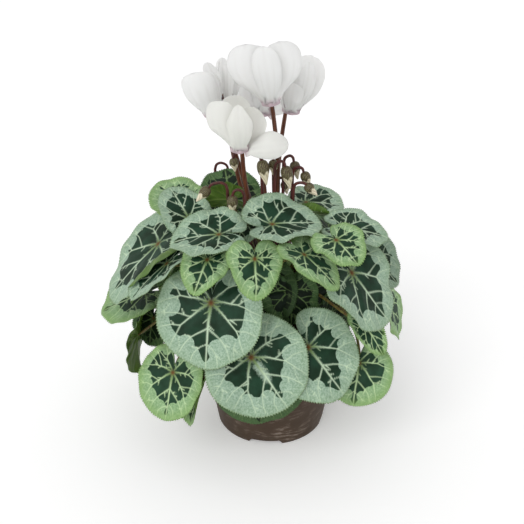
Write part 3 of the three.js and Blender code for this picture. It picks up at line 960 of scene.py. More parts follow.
        # A small leaf has finer veins, but not in full proportion.
        scale = self.width / 80 * 0.5 + 0.5
        spans = self.VEIN_POINTS - 1
        for marks, wide, narrow in self.strokes(rng):
            turn = np.radians([t for t, _ in marks])
            share = np.array([s for _, s in marks])
            fine = np.linspace(0, 1, self.VEIN_POINTS)
            knots = np.linspace(0, 1, len(marks))
            turn, share = np.interp(fine, knots, turn), np.interp(fine, knots, share)
            r = self.reach(turn) * share
            line = np.stack([r * np.sin(turn), r * np.cos(turn) * self.stretch], -1)
            line[1:-1] += rng.normal(0, 0.22 * scale, (spans - 1, 2))
            line[1:-1] = (line[:-2] + 2 * line[1:-1] + line[2:]) / 4
            starts.append(line[:-1])
            ends.append(line[1:])
            widths.append(np.linspace(wide, narrow, spans) * scale * 0.86)
            full.append(np.ones(spans, bool))
            count = int(rng.integers(1, 4)) if wide > 0.55 else int(rng.integers(0, 2))
            for _ in range(count):
                i = int(rng.integers(1, spans - 1))
                along = unit(line[i + 1] - line[i])
                lean = math.radians(rng.uniform(40, 65)) * (1 if rng.random() < 0.5 else -1)
                way = np.array([along[0] * math.cos(lean) - along[1] * math.sin(lean),
                                along[0] * math.sin(lean) + along[1] * math.cos(lean)])
                length = self.width * rng.uniform(0.04, 0.07)
                spur = line[i] + way * length * np.array(SPUR_POINTS)[:, None]
                starts.append(spur[:-1])
                ends.append(spur[1:])
                widths.append(np.array(SPUR_WIDTHS) * scale)
                full.append(np.zeros(len(SPUR_WIDTHS), bool))
        return np.vstack(starts), np.vstack(ends), np.concatenate(widths), np.concatenate(full)

    def near_veins(self, flat: Array) -> tuple[Array, Array]:
        """Measures the flat blade against its veins.

        Args:
            flat: points on the flat blade.

        Returns:
            How much each point lies on a vein, 0 to 1, and its distance to the next full vein.
        """
        vein = np.zeros(len(flat))
        near = np.full(len(flat), 1e3)
        for a, b, wide, real in zip(*self.veins()):
            pad = 3.0 * wide if not real else 0.12 * self.width
            low, high = np.minimum(a, b) - pad, np.maximum(a, b) + pad
            pick = np.flatnonzero(((flat > low) & (flat < high)).all(1))
            if not len(pick):
                continue
            line = b - a
            t = np.clip((flat[pick] - a) @ line / (line @ line + 1e-9), 0, 1)
            gap = np.linalg.norm(flat[pick] - a - t[:, None] * line, axis=1)
            vein[pick] = np.maximum(vein[pick], np.exp(-((gap / wide) ** 2)))
            if real:
                near[pick] = np.minimum(near[pick], gap)
        return vein, near

    def margin(self, flat: Array, turn: Array, share: Array) -> Array:
        """Draws the silver margin, which reaches inwards between the veins.

        Args:
            flat: points on the flat blade.
            turn: their angles from the tip.
            share: their radii over the outline's.

        Returns:
            How far each point lies inside the margin, in millimetres.
        """
        rng = np.random.default_rng(self.seed + self.MARGIN_SEED)
        band = self.band or SILVER_BAND[self.look]
        p, q = rng.uniform(0, 2 * math.pi, 2)
        inner = (band + 0.05 * np.sin(turn + 2 * p) + 0.022 * np.sin(3 * turn + p)
                 + 0.012 * np.sin(8 * turn + q)
                 + 0.15 * np.exp(-((turn / math.radians(6)) ** 2)))
        silver = (share - inner) * self.reach(turn)
        for way in ISLANDS:
            for side in (-1, 1):
                angle = np.array([math.radians(side * (way + rng.normal(0, 2)))])
                radius = self.width * rng.uniform(0.05, 0.1)
                centre = band + rng.uniform(0.0, 0.05)
                r = self.reach(angle)[0] * centre
                middle = np.array([r * math.sin(angle[0]), r * math.cos(angle[0]) * self.stretch])
                if rng.random() < ISLAND_ODDS:
                    silver = np.maximum(silver, radius - np.linalg.norm(flat - middle, axis=1))
        return silver

    def pattern(self, flat: Array, turn: Array, share: Array) -> dict[str, Array]:
        """Works out the blade's markings and its painted shade.

        Args:
            flat: points on the flat blade.
            turn: their angles from the tip.
            share: their radii over the outline's.

        Returns:
            The markings, the painted shade and the height of the relief, by name.
        """
        vein, near = self.near_veins(flat)
        silver = self.margin(flat, turn, share)
        beside = np.exp(-((flat[:, 0] / (0.055 * self.width)) ** 2))
        window = smooth(share, 0.06, 0.16) * smooth(0.62 - share, 0.0, 0.25) * (flat[:, 1] > 0)
        distance = np.linalg.norm(flat, axis=1)
        return {
            "vein": np.clip(vein * 1.05, 0, 1) * (1 - 0.35 * smooth(share, 0.85, 1.0)),
            "silver": np.clip(0.5 + silver / 2.6, 0, 1),
            "edge": (0.4 if self.look is Look.LIME else 0.12) * smooth(share, 0.74, 0.97)
            + 0.4 * smooth(share, 0.972, 0.997),
            "root": np.exp(-((distance / (0.022 * self.width + 0.6)) ** 2)),
            "frost": np.maximum(self.frost * beside * window,
                                0.62 * np.exp(-((near / (0.032 * self.width)) ** 2))
                                * (1 - 0.75 * share)),
            "heart": 1 - smooth(share, 0.02, 0.42),
            # Painted shade: the leaf's gloom all over, and a quarter of the rest towards the back
            # lobes by the petiole.
            "tone": np.full(len(flat), self.painted_shade)
            + (1 - self.painted_shade) * 0.25 * smooth(np.abs(np.degrees(turn)), 120, 175),
            "relief": 0.55 * (1 - np.exp(-((near / (0.07 * self.width)) ** 2)))
            * smooth(1 - share, 0.0, 0.12) - 0.28 * vein * smooth(1 - share, 0.0, 0.1),
        }

    def blade(self) -> Shell:
        """Shapes the blade: a fine upper face and a coarser underside that meet at the teeth.

        Returns:
            The blade's closed shell.
        """
        girth = 3.1 * self.width * (1 + self.stretch) / 2
        teeth = int(girth / (0.95 + 0.011 * self.width))
        segments = len(self.TOOTH) * teeth
        tops = np.linspace(0.0, 1.0, int(26 + 0.24 * self.width) + 1)[1:]
        shares = np.concatenate([tops, self.BACKS])
        faces = np.concatenate([np.ones(len(tops)), -np.ones(len(self.BACKS))])
        turn = np.linspace(-math.pi, math.pi, segments, endpoint=False)
        rng = np.random.default_rng(self.seed + self.TOOTH_SEED)
        bite = np.tile(self.TOOTH, teeth) * np.repeat(rng.uniform(0.6, 1.3, teeth), len(self.TOOTH))
        bite *= smooth(176 - np.abs(np.degrees(turn)), 0, 8)
        reach = self.reach(turn)
        share, angle = np.meshgrid(shares, turn, indexing="ij")
        radius = share * reach + bite * share**20
        flat = np.stack([radius * np.sin(angle), radius * np.cos(angle) * self.stretch], -1)
        flat = flat.reshape(-1, 2)
        marks = self.pattern(flat, angle.ravel(), share.ravel())
        phase = rng.uniform(0, 2 * math.pi, 3)
        wavy = self.width * share**3 * (
            0.018 * np.sin(5 * angle + phase[0]) + 0.014 * np.sin(8 * angle + phase[1])
            + 0.009 * np.sin(13 * angle + phase[2]))
        edge = np.sqrt(np.maximum(0.0, 1 - share**8))
        side = np.repeat(faces, segments)
        height = marks.pop("relief") + wavy.ravel() + side * self.THICKNESS / 2 * edge.ravel()
        points = self.bend(flat[:, 0], flat[:, 1], height).reshape(*share.shape, 3)
        zero = np.zeros(1)
        centre = [self.bend(zero, zero, zero + s * self.THICKNESS / 2)[0] for s in (1, -1)]
        finish = np.repeat([self.FACE, self.BACK], [len(tops), len(self.BACKS) + 1])
        grids = {key: value.reshape(share.shape) for key, value in marks.items()}
        return Shell(points, (centre[0], centre[1]), grids, finish)

    def petiole(self) -> Shell:
        """Runs the petiole from the crown to the underside of the blade.

        Returns:
            The petiole's closed shell.
        """
        at = np.array(self.at, float)
        length = float(np.linalg.norm(self.base - at))
        hang = max(0.0, POT_HEIGHT + 12 - at[2])
        fall = self.fall
        if fall is None:
            fall = self.droop - 75 + 0.6 * max(0, self.droop) + 0.7 * hang
        fall = math.radians(fall)
        arrive = compass(self.heading) * math.cos(fall) - np.array([0, 0, math.sin(fall)])
        rise = self.rise if self.rise is not None else RISE[self.group()]
        first = self.base + np.array([0, 0, rise * length + 0.9 * hang])
        last = at - arrive * (0.3 * length + 0.8 * hang)
        end = at - self.axes()[2] * 0.35
        return sweep(bezier([self.base, first, last, end], 30), PETIOLE, 10, self.SKIN)


S, L, D = Look.SILVER, Look.LIME, Look.SHADED
LEAVES = [
    Leaf("top_leaf_1", (-73, 15, 200), -130, -22, -15, 48, L),
    Leaf("top_leaf_2", (-65, -18, 202), -148, -34, -3, 44, S, stretch=1.2),
    Leaf("top_leaf_3", (-34, 44, 187), -170, -32, 0, 58, D),
    Leaf("top_leaf_4", (-32, 4, 208), -98, 2, 58, 44, S, fold=(10, 4), stretch=0.9, rise=0.5),
    Leaf("top_leaf_5", (-40, -51, 205), -94, 5, -2, 60, S, stretch=1.06, fold=(18, 2)),
    Leaf("top_leaf_6", (0, -44, 210), 108, 2, 4, 64, S, fold=(9, 22)),
    Leaf("top_leaf_7", (28, 17, 199), 84, -2, 4, 52, S, curl=(120, 0), lip=0.6),
    Leaf("top_leaf_8", (57, -24, 197), 84, 6, 4, 54, S),
    Leaf("top_leaf_9", (47, -60, 205), 38, 16, 6, 46, L, stretch=0.9, point=0.1),
    Leaf("top_leaf_10", (23, -73, 200), 52, 24, -8, 53, L, point=0.13),
    Leaf("top_leaf_11", (-13, -76, 198), 5, 46, -14, 48, L, stretch=0.92, point=0.15),
    Leaf("top_leaf_12", (-48, -70, 194), -22, 28, -6, 42, L, tier="side", point=0.13),
    Leaf("side_leaf_1", (-80, -51, 180), -79, 36, 0, 56, S, stretch=1.25, fold=(10, 14),
         curl=(165, 0), rise=0.6, lip=0.3),
    Leaf("side_leaf_2", (-91, -8, 174), -75, 39, 0, 84, S, stretch=1.18),
    Leaf("side_leaf_3", (-46, -72, 158), -14, 57, 0, 84, S, band=0.72),
    Leaf("side_leaf_4", (14, -37, 147), 15, 68, 0, 48, D, stretch=0.93, frost=0.8),
    Leaf("side_leaf_5", (60, -58, 176), 70, 46, 10, 80, S, rise=0.75),
    Leaf("side_leaf_6", (83, 12, 154), 75, 42, 12, 58, S, painted_shade=0.3),
    Leaf("skirt_leaf_1", (-106, 0, 123), -82, 17, -6, 66, L, point=0.0),
    Leaf("skirt_leaf_2", (98, 0, 116), 62, 62, -12, 56, L),
    Leaf("skirt_leaf_3", (-16, -80, 114), 58, 44, 42, 82, S, frost=1.0, band=0.69),
    Leaf("skirt_leaf_4", (28, -68, 115), 62, 44, 30, 76, S, fold=(-14, 8), band=0.7),
    Leaf("skirt_leaf_5", (70, -54, 90), -12, 56, -12, 56, L, stretch=1.06, fold=(-18, 8),
         point=0.0),
    Leaf("skirt_leaf_6", (71, -66, 135), 52, 44, 30, 25, L, stretch=1.75, fold=(14, 28), rise=0.65,
         tier="side", band=0.86),
    Leaf("skirt_leaf_7", (-78, -68, 91), -22, 56, 8, 60, L, stretch=1.05, point=0.0),
    Leaf("skirt_leaf_8", (-54, -65, 83), -44, 56, 6, 46, L, stretch=1.4, fold=(44, 48),
         fall=62, painted_shade=0.1),
    Leaf("skirt_leaf_9", (-112, -15, 91), -70, 82, 28, 55, L, rise=0.2, fall=32),
    Leaf("skirt_leaf_10", (-9, -78, 86), 3, 76, 0, 70, D, stretch=0.8, painted_shade=0.25),
    Leaf("side_leaf_7", (-80, 46, 158), -120, 44, 5, 68, S),
    Leaf("side_leaf_8", (-33, 76, 164), -168, 46, 0, 66, L),
    Leaf("side_leaf_9", (26, 78, 157), 162, 50, 0, 68, S),
    Leaf("side_leaf_10", (72, 54, 154), 122, 46, 4, 64, L),
    Leaf("skirt_leaf_11", (-72, 68, 112), -140, 60, 0, 68, S),
    Leaf("skirt_leaf_12", (-10, 92, 110), 178, 62, 0, 74, S),
    Leaf("skirt_leaf_13", (52, 80, 108), 148, 60, 0, 68, L),
    Leaf("skirt_leaf_14", (90, 44, 110), 110, 62, 0, 58, S),
]
# Leaves deep inside the plant, which have no solid of their own in the CAD model. They wear the
# shaded finish and a gloom, so their dark colour is painted shade.
INNER_LEAVES = [
    Leaf("inner_leaf_1", (-100, 2, 97), -34, 66, 0, 42, D, painted_shade=0.3),
    Leaf("inner_leaf_2", (50, -10, 138), 34, 60, 0, 58, D, painted_shade=0.35),
    Leaf("inner_leaf_3", (-8, -30, 152), -12, 66, 0, 62, D, painted_shade=0.4),
    Leaf("inner_leaf_4", (-56, -24, 152), -48, 58, 0, 60, D, painted_shade=0.35),
    Leaf("inner_leaf_5", (-20, -22, 199), -30, 24, 0, 34, S),
    Leaf("inner_leaf_6", (18, 34, 168), 160, 40, 0, 60, D),
    Leaf("inner_leaf_7", (52, 26, 164), 104, 44, 0, 60, D),
    Leaf("inner_leaf_8", (-52, 28, 168), -118, 40, 0, 60, D),
    Leaf("inner_leaf_9", (42, -30, 118), 40, 66, 0, 54, D, painted_shade=0.4),
]


@dataclass
class Foliage:
    """All leaves, standing in three rings on the crown."""

    leaves: list[Leaf] = field(default_factory=lambda: LEAVES)
    inner: list[Leaf] = field(default_factory=lambda: INNER_LEAVES)

    def settle(self, tier: str) -> None:
        """Gives the leaves of one ring their places on the crown, in the order of their blades.

        Args:
            tier: name of the ring.
        """
        ring = [leaf for leaf in self.leaves if leaf.group() == tier]
        angles = [math.atan2(leaf.at[0], -leaf.at[1]) for leaf in ring]
        order = np.argsort(angles, kind="stable")
        step = 2 * math.pi / len(ring)
        offsets = [angles[i] - k * step for k, i in enumerate(order)]
        phase = math.atan2(sum(map(math.sin, offsets)), sum(map(math.cos, offsets)))
        for k, i in enumerate(order):
            way = math.degrees(phase + k * step)
            ring[i].base = footing(way, RING[tier])

    def make(self) -> None:
        """Builds and dresses every leaf."""
        faces = {look: finish.make() for look, finish in BLADE_FACES.items()}
        back = BladeBack("waxy_leaf_underside").make()
        skin = StemSkin("petiole_skin", low="#5a3d20", high="#7d7a3e").make()
        for tier in RING:
            self.settle(tier)
        for leaf in self.inner:
            way = math.degrees(math.atan2(leaf.at[0], -leaf.at[1]))
            leaf.tier = "side"
            leaf.own = False
            leaf.base = footing(way, INNER_RING)
        for index, leaf in enumerate(self.leaves + self.inner):
            leaf.seed = index + 1
            piece = build(f"leaf_{leaf.name}", [leaf.blade(), leaf.petiole()],
                          [faces[leaf.look], back, skin])
            mount(piece, "leaf", *([leaf.name] if leaf.own else []))


# ---- flowers ----
# The stalk rises behind the mouth, bends over and meets the flower from above: out and height.
HOOK = ((9.6, -12), (9.4, 0), (8.2, 9), (4.2, 15), (0.8, 13.5), (0, TUBE_LENGTH - 0.6))
FLOWER_STALK = ((0, 2.1), (0.03, 1.8), (0.45, 1.7), (0.6, 1.4), (0.97, 1.3), (1, 1.5))
# The tube from inside its mouth over the lip to its end: radius, height, dark throat and blush.
TUBE = ((1.2, 3.4, 1, 1), (3.2, 3.0, 1, 1), (4.3, 1.6, 0.9, 1), (4.9, -0.2, 0.5, 1),
        (5.5, -0.9, 0.15, 1), (6.1, -0.4, 0, 0.9), (6.2, 0.8, 0, 0.85), (5.9, 3.0, 0, 0.8),
        (5.4, 5.2, 0, 0.8), (4.4, 7.4, 0, 0.8), (3.2, 8.7, 0, 0.8), (1.6, 9.0, 0, 0.8))
# The calyx from its root over the sepals' margin and back inside: radius, height, free margin.
CALYX = ((1.5, 9.9, 0), (3.2, 9.5, 0), (4.5, 8.2, 0), (5.4, 6.4, 0), (6.0, 4.4, 1),
         (5.6, 4.5, 1), (5.0, 6.4, 0), (3.4, 8.6, 0), (1.5, 9.0, 0))


@dataclass(frozen=True)
class Bend:
    """How one petal differs from its flower's others.

    Attributes:
        scale: its width over the others'.
        swing: how far it stands from its even place, in degrees.
        point: how pointed its tip is.
        limp: heading and height in degrees of its length, where it hangs, or None.
        reach: its length over the others'.
        face: how far its face turns from its even place, in degrees.
    """

    scale: float = 1.0
    swing: float = 0.0
    point: float = 0.0
    limp: tuple[float, float] | None = None
    reach: float = 1.0
    face: float = 0.0


@dataclass
class Flower:
    """One nodding flower with swept-back petals and its hooked stalk.

    Attributes:
        name: prefix of its CAD nodes.
        nose: middle of the mouth, at the flower's lowest point.
        lean: tilt in degrees and where it leans.
        turn: heading of the first petal.
        length, width, spread, twist: of a petal.
        side: heading of the stalk's bend.
        foot: distance and heading of the stalk's place on the crown.
        bends: what is different about a petal, by its number.
        white: colour of its petals; the front flower's darker white is painted shade, as it lies
            lower, in the shade of the flowers above.
        seed: of its random wrinkles.
    """

    PETALS = 5
    STEP = 360 / PETALS
    # Points along a petal, across it, round the tube and round the calyx.
    ROWS, COLUMNS, TUBE_SIDES, CALYX_SIDES = 42, 22, 60, 50
    # Length of a sepal's free point, and the room that the petals leave for the stalk.
    SEPAL, ROOM = 2.6, 2.0
    # Numbers of the finishes that the flower wears.
    TISSUE, SKIN = range(2)

    name: str
    nose: tuple[float, float, float]
    lean: tuple[float, float]
    turn: float
    length: float
    width: float
    spread: float
    twist: float
    side: float
    foot: tuple[float, float]
    bends: dict[int, Bend] = field(default_factory=dict)
    white: str = "#f1f1ef"
    seed: int = 0

    def placement(self) -> tuple[Array, Array]:
        """Places the flower.

        Returns:
            The rotation that leans it, and its place on the plant.
        """
        tilt, way = self.lean
        axis = unit(np.cross([0, 0, 1], compass(way)))
        a = math.radians(tilt)
        k = np.array([[0, -axis[2], axis[1]], [axis[2], 0, -axis[0]], [-axis[1], axis[0], 0]])
        return np.eye(3) + math.sin(a) * k + (1 - math.cos(a)) * k @ k, np.array(self.nose, float)

    def hook(self) -> Array:
        """Returns the hooked end of the stalk in the flower's own axes."""
        back = compass(self.side)
        return catmull([back * out + np.array([0, 0, z]) for out, z in HOOK], 8)

    def petal(self, index: int) -> Shell:
        """Shapes one petal: a thin spoon with a midrib crease and a softly waved margin.

        Args:
            index: the petal's number.

        Returns:
            The petal's closed shell.
        """
        rng = np.random.default_rng(self.seed * 10 + index)
        own = self.bends.get(index, Bend())
        along = np.linspace(0.0, 1.0, self.ROWS + 2)[1:-1]
        half_way = np.cos(np.linspace(0.0, math.pi, self.COLUMNS))
        across = np.concatenate([half_way, -half_way[1:-1]])
        face = np.concatenate([np.ones(self.COLUMNS), -np.ones(self.COLUMNS - 2)])
        v, u = np.meshgrid(along, across, indexing="ij")
        outline = np.sqrt(np.maximum(0.0, 1 - np.abs(2 * v**1.2 - 1) ** 2.5))
        outline *= 1 - own.point * smooth(v, 0.55, 1.0)
        half = self.width / 2 * (0.6 + 0.52 * v) * outline * rng.uniform(0.97, 1.03) * own.scale
        half = np.maximum(half, 5.6 * smooth(0.32 - v, 0, 0.24))
        x = u * half
        wave = rng.uniform(0, 2 * math.pi, 2)
        ruffle = np.abs(u) ** 3 * (0.5 * np.sin(9 * v + wave[0]) + 0.3 * np.sin(15 * v + wave[1]))
        middle = PETAL_ROOT + (self.spread - PETAL_ROOT) * np.sin(2.3 * v)
        bow = (x**2 / (1.6 * self.spread + 12) - ruffle * smooth(v, 0.15, 0.5)
               + 0.35 * np.exp(-((x / 1.1) ** 2)) * smooth(v, 0, 0.3))
        thick = 0.27 * np.sqrt(np.maximum(0.0, 1 - np.abs(u) ** 6)) * (1 - 0.45 * v)
        bow = bow - face * thick * (0.3 + 0.7 * smooth(1 - v, 0.0, 0.06))
        facing = np.radians(own.face - self.twist) * smooth(v, 0.04, 0.45)
        x, y = (x * np.cos(facing) - bow * np.sin(facing),
                x * np.sin(facing) + bow * np.cos(facing) - middle)
        length = self.length * own.reach
        rings = np.stack([x, y, length * v], -1)
        root = np.array([0, -PETAL_ROOT, -0.2])
        tip = np.array([0, rings[-1, :, 1].mean(), length])
        place = self.turned(rings.reshape(-1, 3), own, index).reshape(rings.shape)
        poles = self.turned(np.array([root, tip]), own, index)
        ribs = np.clip(np.sin(u * 16) ** 8, 0, 1) * (1 - smooth(v, 0.5, 0.95)) * 0.5
        ribs = np.maximum(ribs, np.exp(-((u * half / 0.7) ** 2)) * (1 - 0.5 * v))
        traits = {"ribs": ribs, "blush": 0.85 * (1 - smooth(v, 0.0, 0.16))}
        return self.placed(Shell(self.part(place), (poles[0], poles[1]), traits, self.TISSUE))

    def turned(self, points: Array, own: Bend, index: int) -> Array:
        """Turns a petal's points to their place round the mouth, or lets the petal hang.

        Args:
            points: the petal's points, rising from the front of the mouth.
            own: what is different about the petal.
            index: the petal's number.

        Returns:
            The points in the flower's own axes.
        """
        if own.limp:
            heading, height = own.limp
            rise = math.radians(height)
            long = compass(heading) * math.cos(rise) + np.array([0, 0, math.sin(rise)])
            face = np.array([0.0, -0.86, 0.5])
            face = unit(face - long * face.dot(long))
            basis = np.array([np.cross(face, long), -face, long])
            return ((points + [0, PETAL_ROOT, 0]) @ basis
                    + compass(self.turn + self.STEP * index) * 3.0)
        a = math.radians(self.turn + self.STEP * index + own.swing)
        x, y = points[:, 0], points[:, 1]
        return np.stack([x * math.cos(a) - y * math.sin(a), x * math.sin(a) + y * math.cos(a),
                         points[:, 2]], -1)

    def part(self, rings: Array) -> Array:
        """Moves the petal's points aside where the stalk passes.

        Args:
            rings: the petal's points, in the flower's own axes.

        Returns:
            The same points, clear of the stalk.
        """
        flat = rings.reshape(-1, 3)
        line = self.hook()
        gaps = flat[:, None] - line[None]
        distance = np.linalg.norm(gaps, axis=2)
        nearest = distance.argmin(1)
        rows = np.arange(len(flat))
        close = distance[rows, nearest]
        away = gaps[rows, nearest] / np.maximum(close, 1e-3)[:, None]
        push = np.maximum(0.0, self.ROOM - close)[:, None]
        return (flat + away * push).reshape(rings.shape)

    def placed(self, shell: Shell) -> Shell:
        """Leans a shell with the flower and moves it to its place.

        Args:
            shell: a shell in the flower's own axes, which is changed.

        Returns:
            The same shell.
        """
        turn, nose = self.placement()
        shell.rings = shell.rings @ turn.T + nose
        shell.poles = tuple(pole @ turn.T + nose for pole in shell.poles)
        return shell

    def tube(self) -> Shell:
        """Shapes the short five-lobed tube with its recessed mouth.

        Returns:
            The tube's closed shell.
        """
        rows = np.array(TUBE, float)
        rings = lathe(rows[:, :2], self.TUBE_SIDES)
        turn = turns(self.TUBE_SIDES) - math.radians(self.turn)
        lobes = 1.12 + 0.06 * np.cos(self.PETALS * turn)
        rings[:, :, :2] *= lobes[None, :, None]
        traits = {"throat": rows[:, 2:3], "blush": rows[:, 3:4]}
        poles = (np.array([0, 0, 3.5]), np.array([0, 0, TUBE_LENGTH]))
        return self.placed(Shell(rings, poles, traits, self.TISSUE))

    def calyx(self) -> Shell:
        """Shapes the cup of five pointed sepals behind the tube.

        Returns:
            The calyx's closed shell.
        """
        rows = np.array(CALYX, float)
        rings = lathe(rows[:, :2], self.CALYX_SIDES)
        rings[:, :, 2] += rows[:, 2:] * self.SEPAL * (1 - fifths(turns(self.CALYX_SIDES)))
        poles = (np.array([0, 0, 9.9]), np.array([0, 0, TUBE_LENGTH]))
        return self.placed(Shell(rings, poles, finish=self.SKIN))

    def stalk(self) -> Shell:
        """Runs the stalk from the crown to the hook's end.

        Returns:
            The stalk's closed shell.
        """
        turn, nose = self.placement()
        hook = self.hook() @ turn.T + nose
        base = footing(self.foot[1], self.foot[0])
        down = -unit(hook[1] - hook[0])
        length = float(np.linalg.norm(hook[0] - base))
        under = hook[0] + down * 0.4 * length
        stem = bezier([base, base + [0, 0, 0.4 * length], under, hook[0]], 32)
        return sweep(np.vstack([stem[:-1], hook]), FLOWER_STALK, 16)

    def make(self, tissue: bpy.types.Material, skin: bpy.types.Material) -> None:
        """Builds the corolla and its stalk.

        Args:
            tissue: finish of the petals.
            skin: finish of the calyx and the stalk.
        """
        shells = [self.tube(), self.calyx()] + [self.petal(i) for i in range(self.PETALS)]
        mount(build(f"{self.name}_flower", shells, [tissue, skin]), "petal", f"{self.name}_corolla")
        mount(build(f"{self.name}_stalk", [self.stalk()], [skin]), "flower_stalk",
              f"{self.name}_flower_stalk")


FLOWERS = [
    Flower("centre", (-1, -4, 291), (8, -90), 0, 42, 27, 17.5, 12, 180, (0, 0),
           {0: Bend(0.84, 2, 0.1, reach=1.13), 1: Bend(1.06, -16, reach=1.13, face=-35),
            4: Bend(1.08, 15, reach=1.16, face=58), 2: Bend(0.9, 0, reach=0.96),
            3: Bend(0.9, 0, reach=0.98)}, "#ececea"),
    Flower("right", (15, 30, 272), (8, 80), -5, 42, 24, 12.5, 12, 200, (5, 112),
           {0: Bend(0.72, -4, reach=0.64), 1: Bend(0.56, -27, 0.2, reach=1.05, face=-25),
            2: Bend(1.15, -24, reach=1.08, face=55), 3: Bend(0.9, 0, reach=0.75),
            4: Bend(0.6, 10, reach=0.6)}),
    Flower("left", (-45, 8, 278), (17, -80), -20, 37, 20, 11, 12, 150, (5, -98),
           {0: Bend(1.4, 4, reach=1.04, face=22), 1: Bend(0.6, 26, reach=0.85),
            2: Bend(0.75, 0, reach=1.04, face=40), 3: Bend(0.9, 0, reach=0.75),
            4: Bend(0.7, -34, reach=0.75)}),
    Flower("middle", (-34, 26, 279), (4, 0), 0, 36, 11, 8, 24, 180, (5, -148)),
    # The front flower's darker white, #e2e2da, is painted shade: it lies lower, in the shade of the
    # flowers above.
    Flower("front", (-24, -21, 261), (6, -30), -4, 38, 24, 15, 12, 175, (5, -48),
           {0: Bend(0.88, 10, 0.5, reach=1.1, face=6), 1: Bend(0.95, 0, 0.3, (92, 3), 0.88),
            4: Bend(1.02, 14, reach=1.12, face=58), 2: Bend(0.9, -34, reach=0.84, face=50),
            3: Bend(1.05, -26, reach=1.0)}, "#e2e2da"),
    Flower("back", (-7, 52, 261), (10, -150), 0, 38, 22, 14, 16, 210, (5, 162),
           {1: Bend(1.0, 0, 0.1, (104, 22), 0.8), 4: Bend(1.3, 10, face=55)}),
]


# ---- buds ----
BUD_STALK = ((0, 1.6), (0.04, 1.3), (0.5, 1.2), (0.8, 1.1), (1, 0.95))
# A bud's radius at shares of its length, and the shares at which it has a ring of points.
BUD_OUTLINE = ((0, 0.9), (0.02, 1.7), (0.06, 2.5), (0.12, 3.05), (0.2, 3.45), (0.3, 3.6),
               (0.4, 3.5), (0.5, 3.1), (0.6, 2.5), (0.7, 1.95), (0.8, 1.45), (0.9, 0.95),
               (0.97, 0.5), (1, 0.2))
BUD_ROWS = (0, 0.012, 0.03, 0.06, 0.1, 0.15, 0.2, 0.26, 0.32, 0.38, 0.43, 0.48, 0.52, 0.56, 0.6,
            0.65, 0.7, 0.75, 0.8, 0.85, 0.9, 0.94, 0.97, 0.99)


@dataclass
class Bud:
    """One closed bud that hangs from its hooked stalk.

    Attributes:
        name: its CAD node, or its own name where it has none.
        top: highest point of the hook.
        hang: where the bud begins.
        tip: the bud's end.
        foot: heading of the stalk's place on the crown.
        own: whether it stands for a CAD node.
        ring: distance of the stalk's place from the crown's middle.
    """

    # Points round the bud, and the numbers of the finishes that it wears.
    SIDES = 50
    SKIN, FLESH = range(2)

    name: str
    top: tuple[float, float, float]
    hang: tuple[float, float, float]
    tip: tuple[float, float, float]
    foot: float
    own: bool = True
    ring: float = BUD_RING

    def hook(self) -> Array:
        """Runs the stalk from the crown over the hook into the bud.

        Returns:
            Points of the path.
        """
        top, hang, tip = (np.array(p, float) for p in (self.top, self.hang, self.tip))
        level = unit((hang - top) * [1, 1, 0])
        shoulder = top - 5 * level
        shoulder[2] = top[2] - 6
        base = footing(self.foot, self.ring)
        length = float(np.linalg.norm(shoulder - base))
        under = shoulder - [0, 0, 0.35 * length]
        stem = bezier([base, base + [0, 0, 0.4 * length], under, shoulder], 26)
        rising = top - 3.6 * level - [0, 0, 1.7]
        falling = top + (hang - top) * [0.72, 0.72, 0.29]
        bow = catmull([shoulder, rising, top, falling, hang, hang + 0.15 * (tip - hang)], 6)
        return np.vstack([stem[:-1], bow])

    def spindle(self) -> Shell:
        """Shapes the bud: a twisted, five-ribbed spindle whose sepals end in points.

        Returns:
            The bud's closed shell.
        """
        hang, tip = np.array(self.hang, float), np.array(self.tip, float)
        size = 1.12 * float(np.linalg.norm(tip - hang))
        radius = np.interp(BUD_ROWS, *zip(*BUD_OUTLINE))
        radius *= 0.62 + 0.42 * size / 14
        s, a = np.meshgrid(BUD_ROWS, turns(self.SIDES), indexing="ij")
        sepal = smooth(0.4 + 0.15 * (1 - fifths(a)) ** 1.5 - s, -0.02, 0.02)
        twist = a + 3.2 * s
        rib = np.cos(5 * twist)
        girth = radius[:, None] * (1 + 0.07 * rib * (1 - sepal) * smooth(s, .3, .6)) + 0.28 * sepal
        girth += 0.1 * np.cos(20 * a) * sepal * smooth(s, 0.02, 0.1)
        rings = np.stack([girth * np.sin(a), -girth * np.cos(a), size * s], -1)
        axis = unit(tip - hang)
        helper = unit(np.cross(axis, [0.0, 1.0, 0.2]))
        basis = np.array([helper, np.cross(axis, helper), axis])
        traits = {"sepal": sepal, "streak": 0.5 + 0.5 * np.cos(20 * a + 2 * np.sin(9 * s)),
                  "seam": smooth(-rib, 0.6, 1.0) * (1 - sepal)}
        return Shell(rings @ basis + hang, (hang, hang + axis * size), traits, self.FLESH)

    def make(self, skin: bpy.types.Material, flesh: bpy.types.Material) -> None:
        """Builds the bud with its stalk.

        Args:
            skin: finish of the stalk.
            flesh: finish of the bud.
        """
        stalk = sweep(self.hook(), BUD_STALK, 12, self.SKIN)
        piece = build(f"flower_{self.name}", [stalk, self.spindle()], [skin, flesh])
        mount(piece, "bud", *([self.name] if self.own else []))


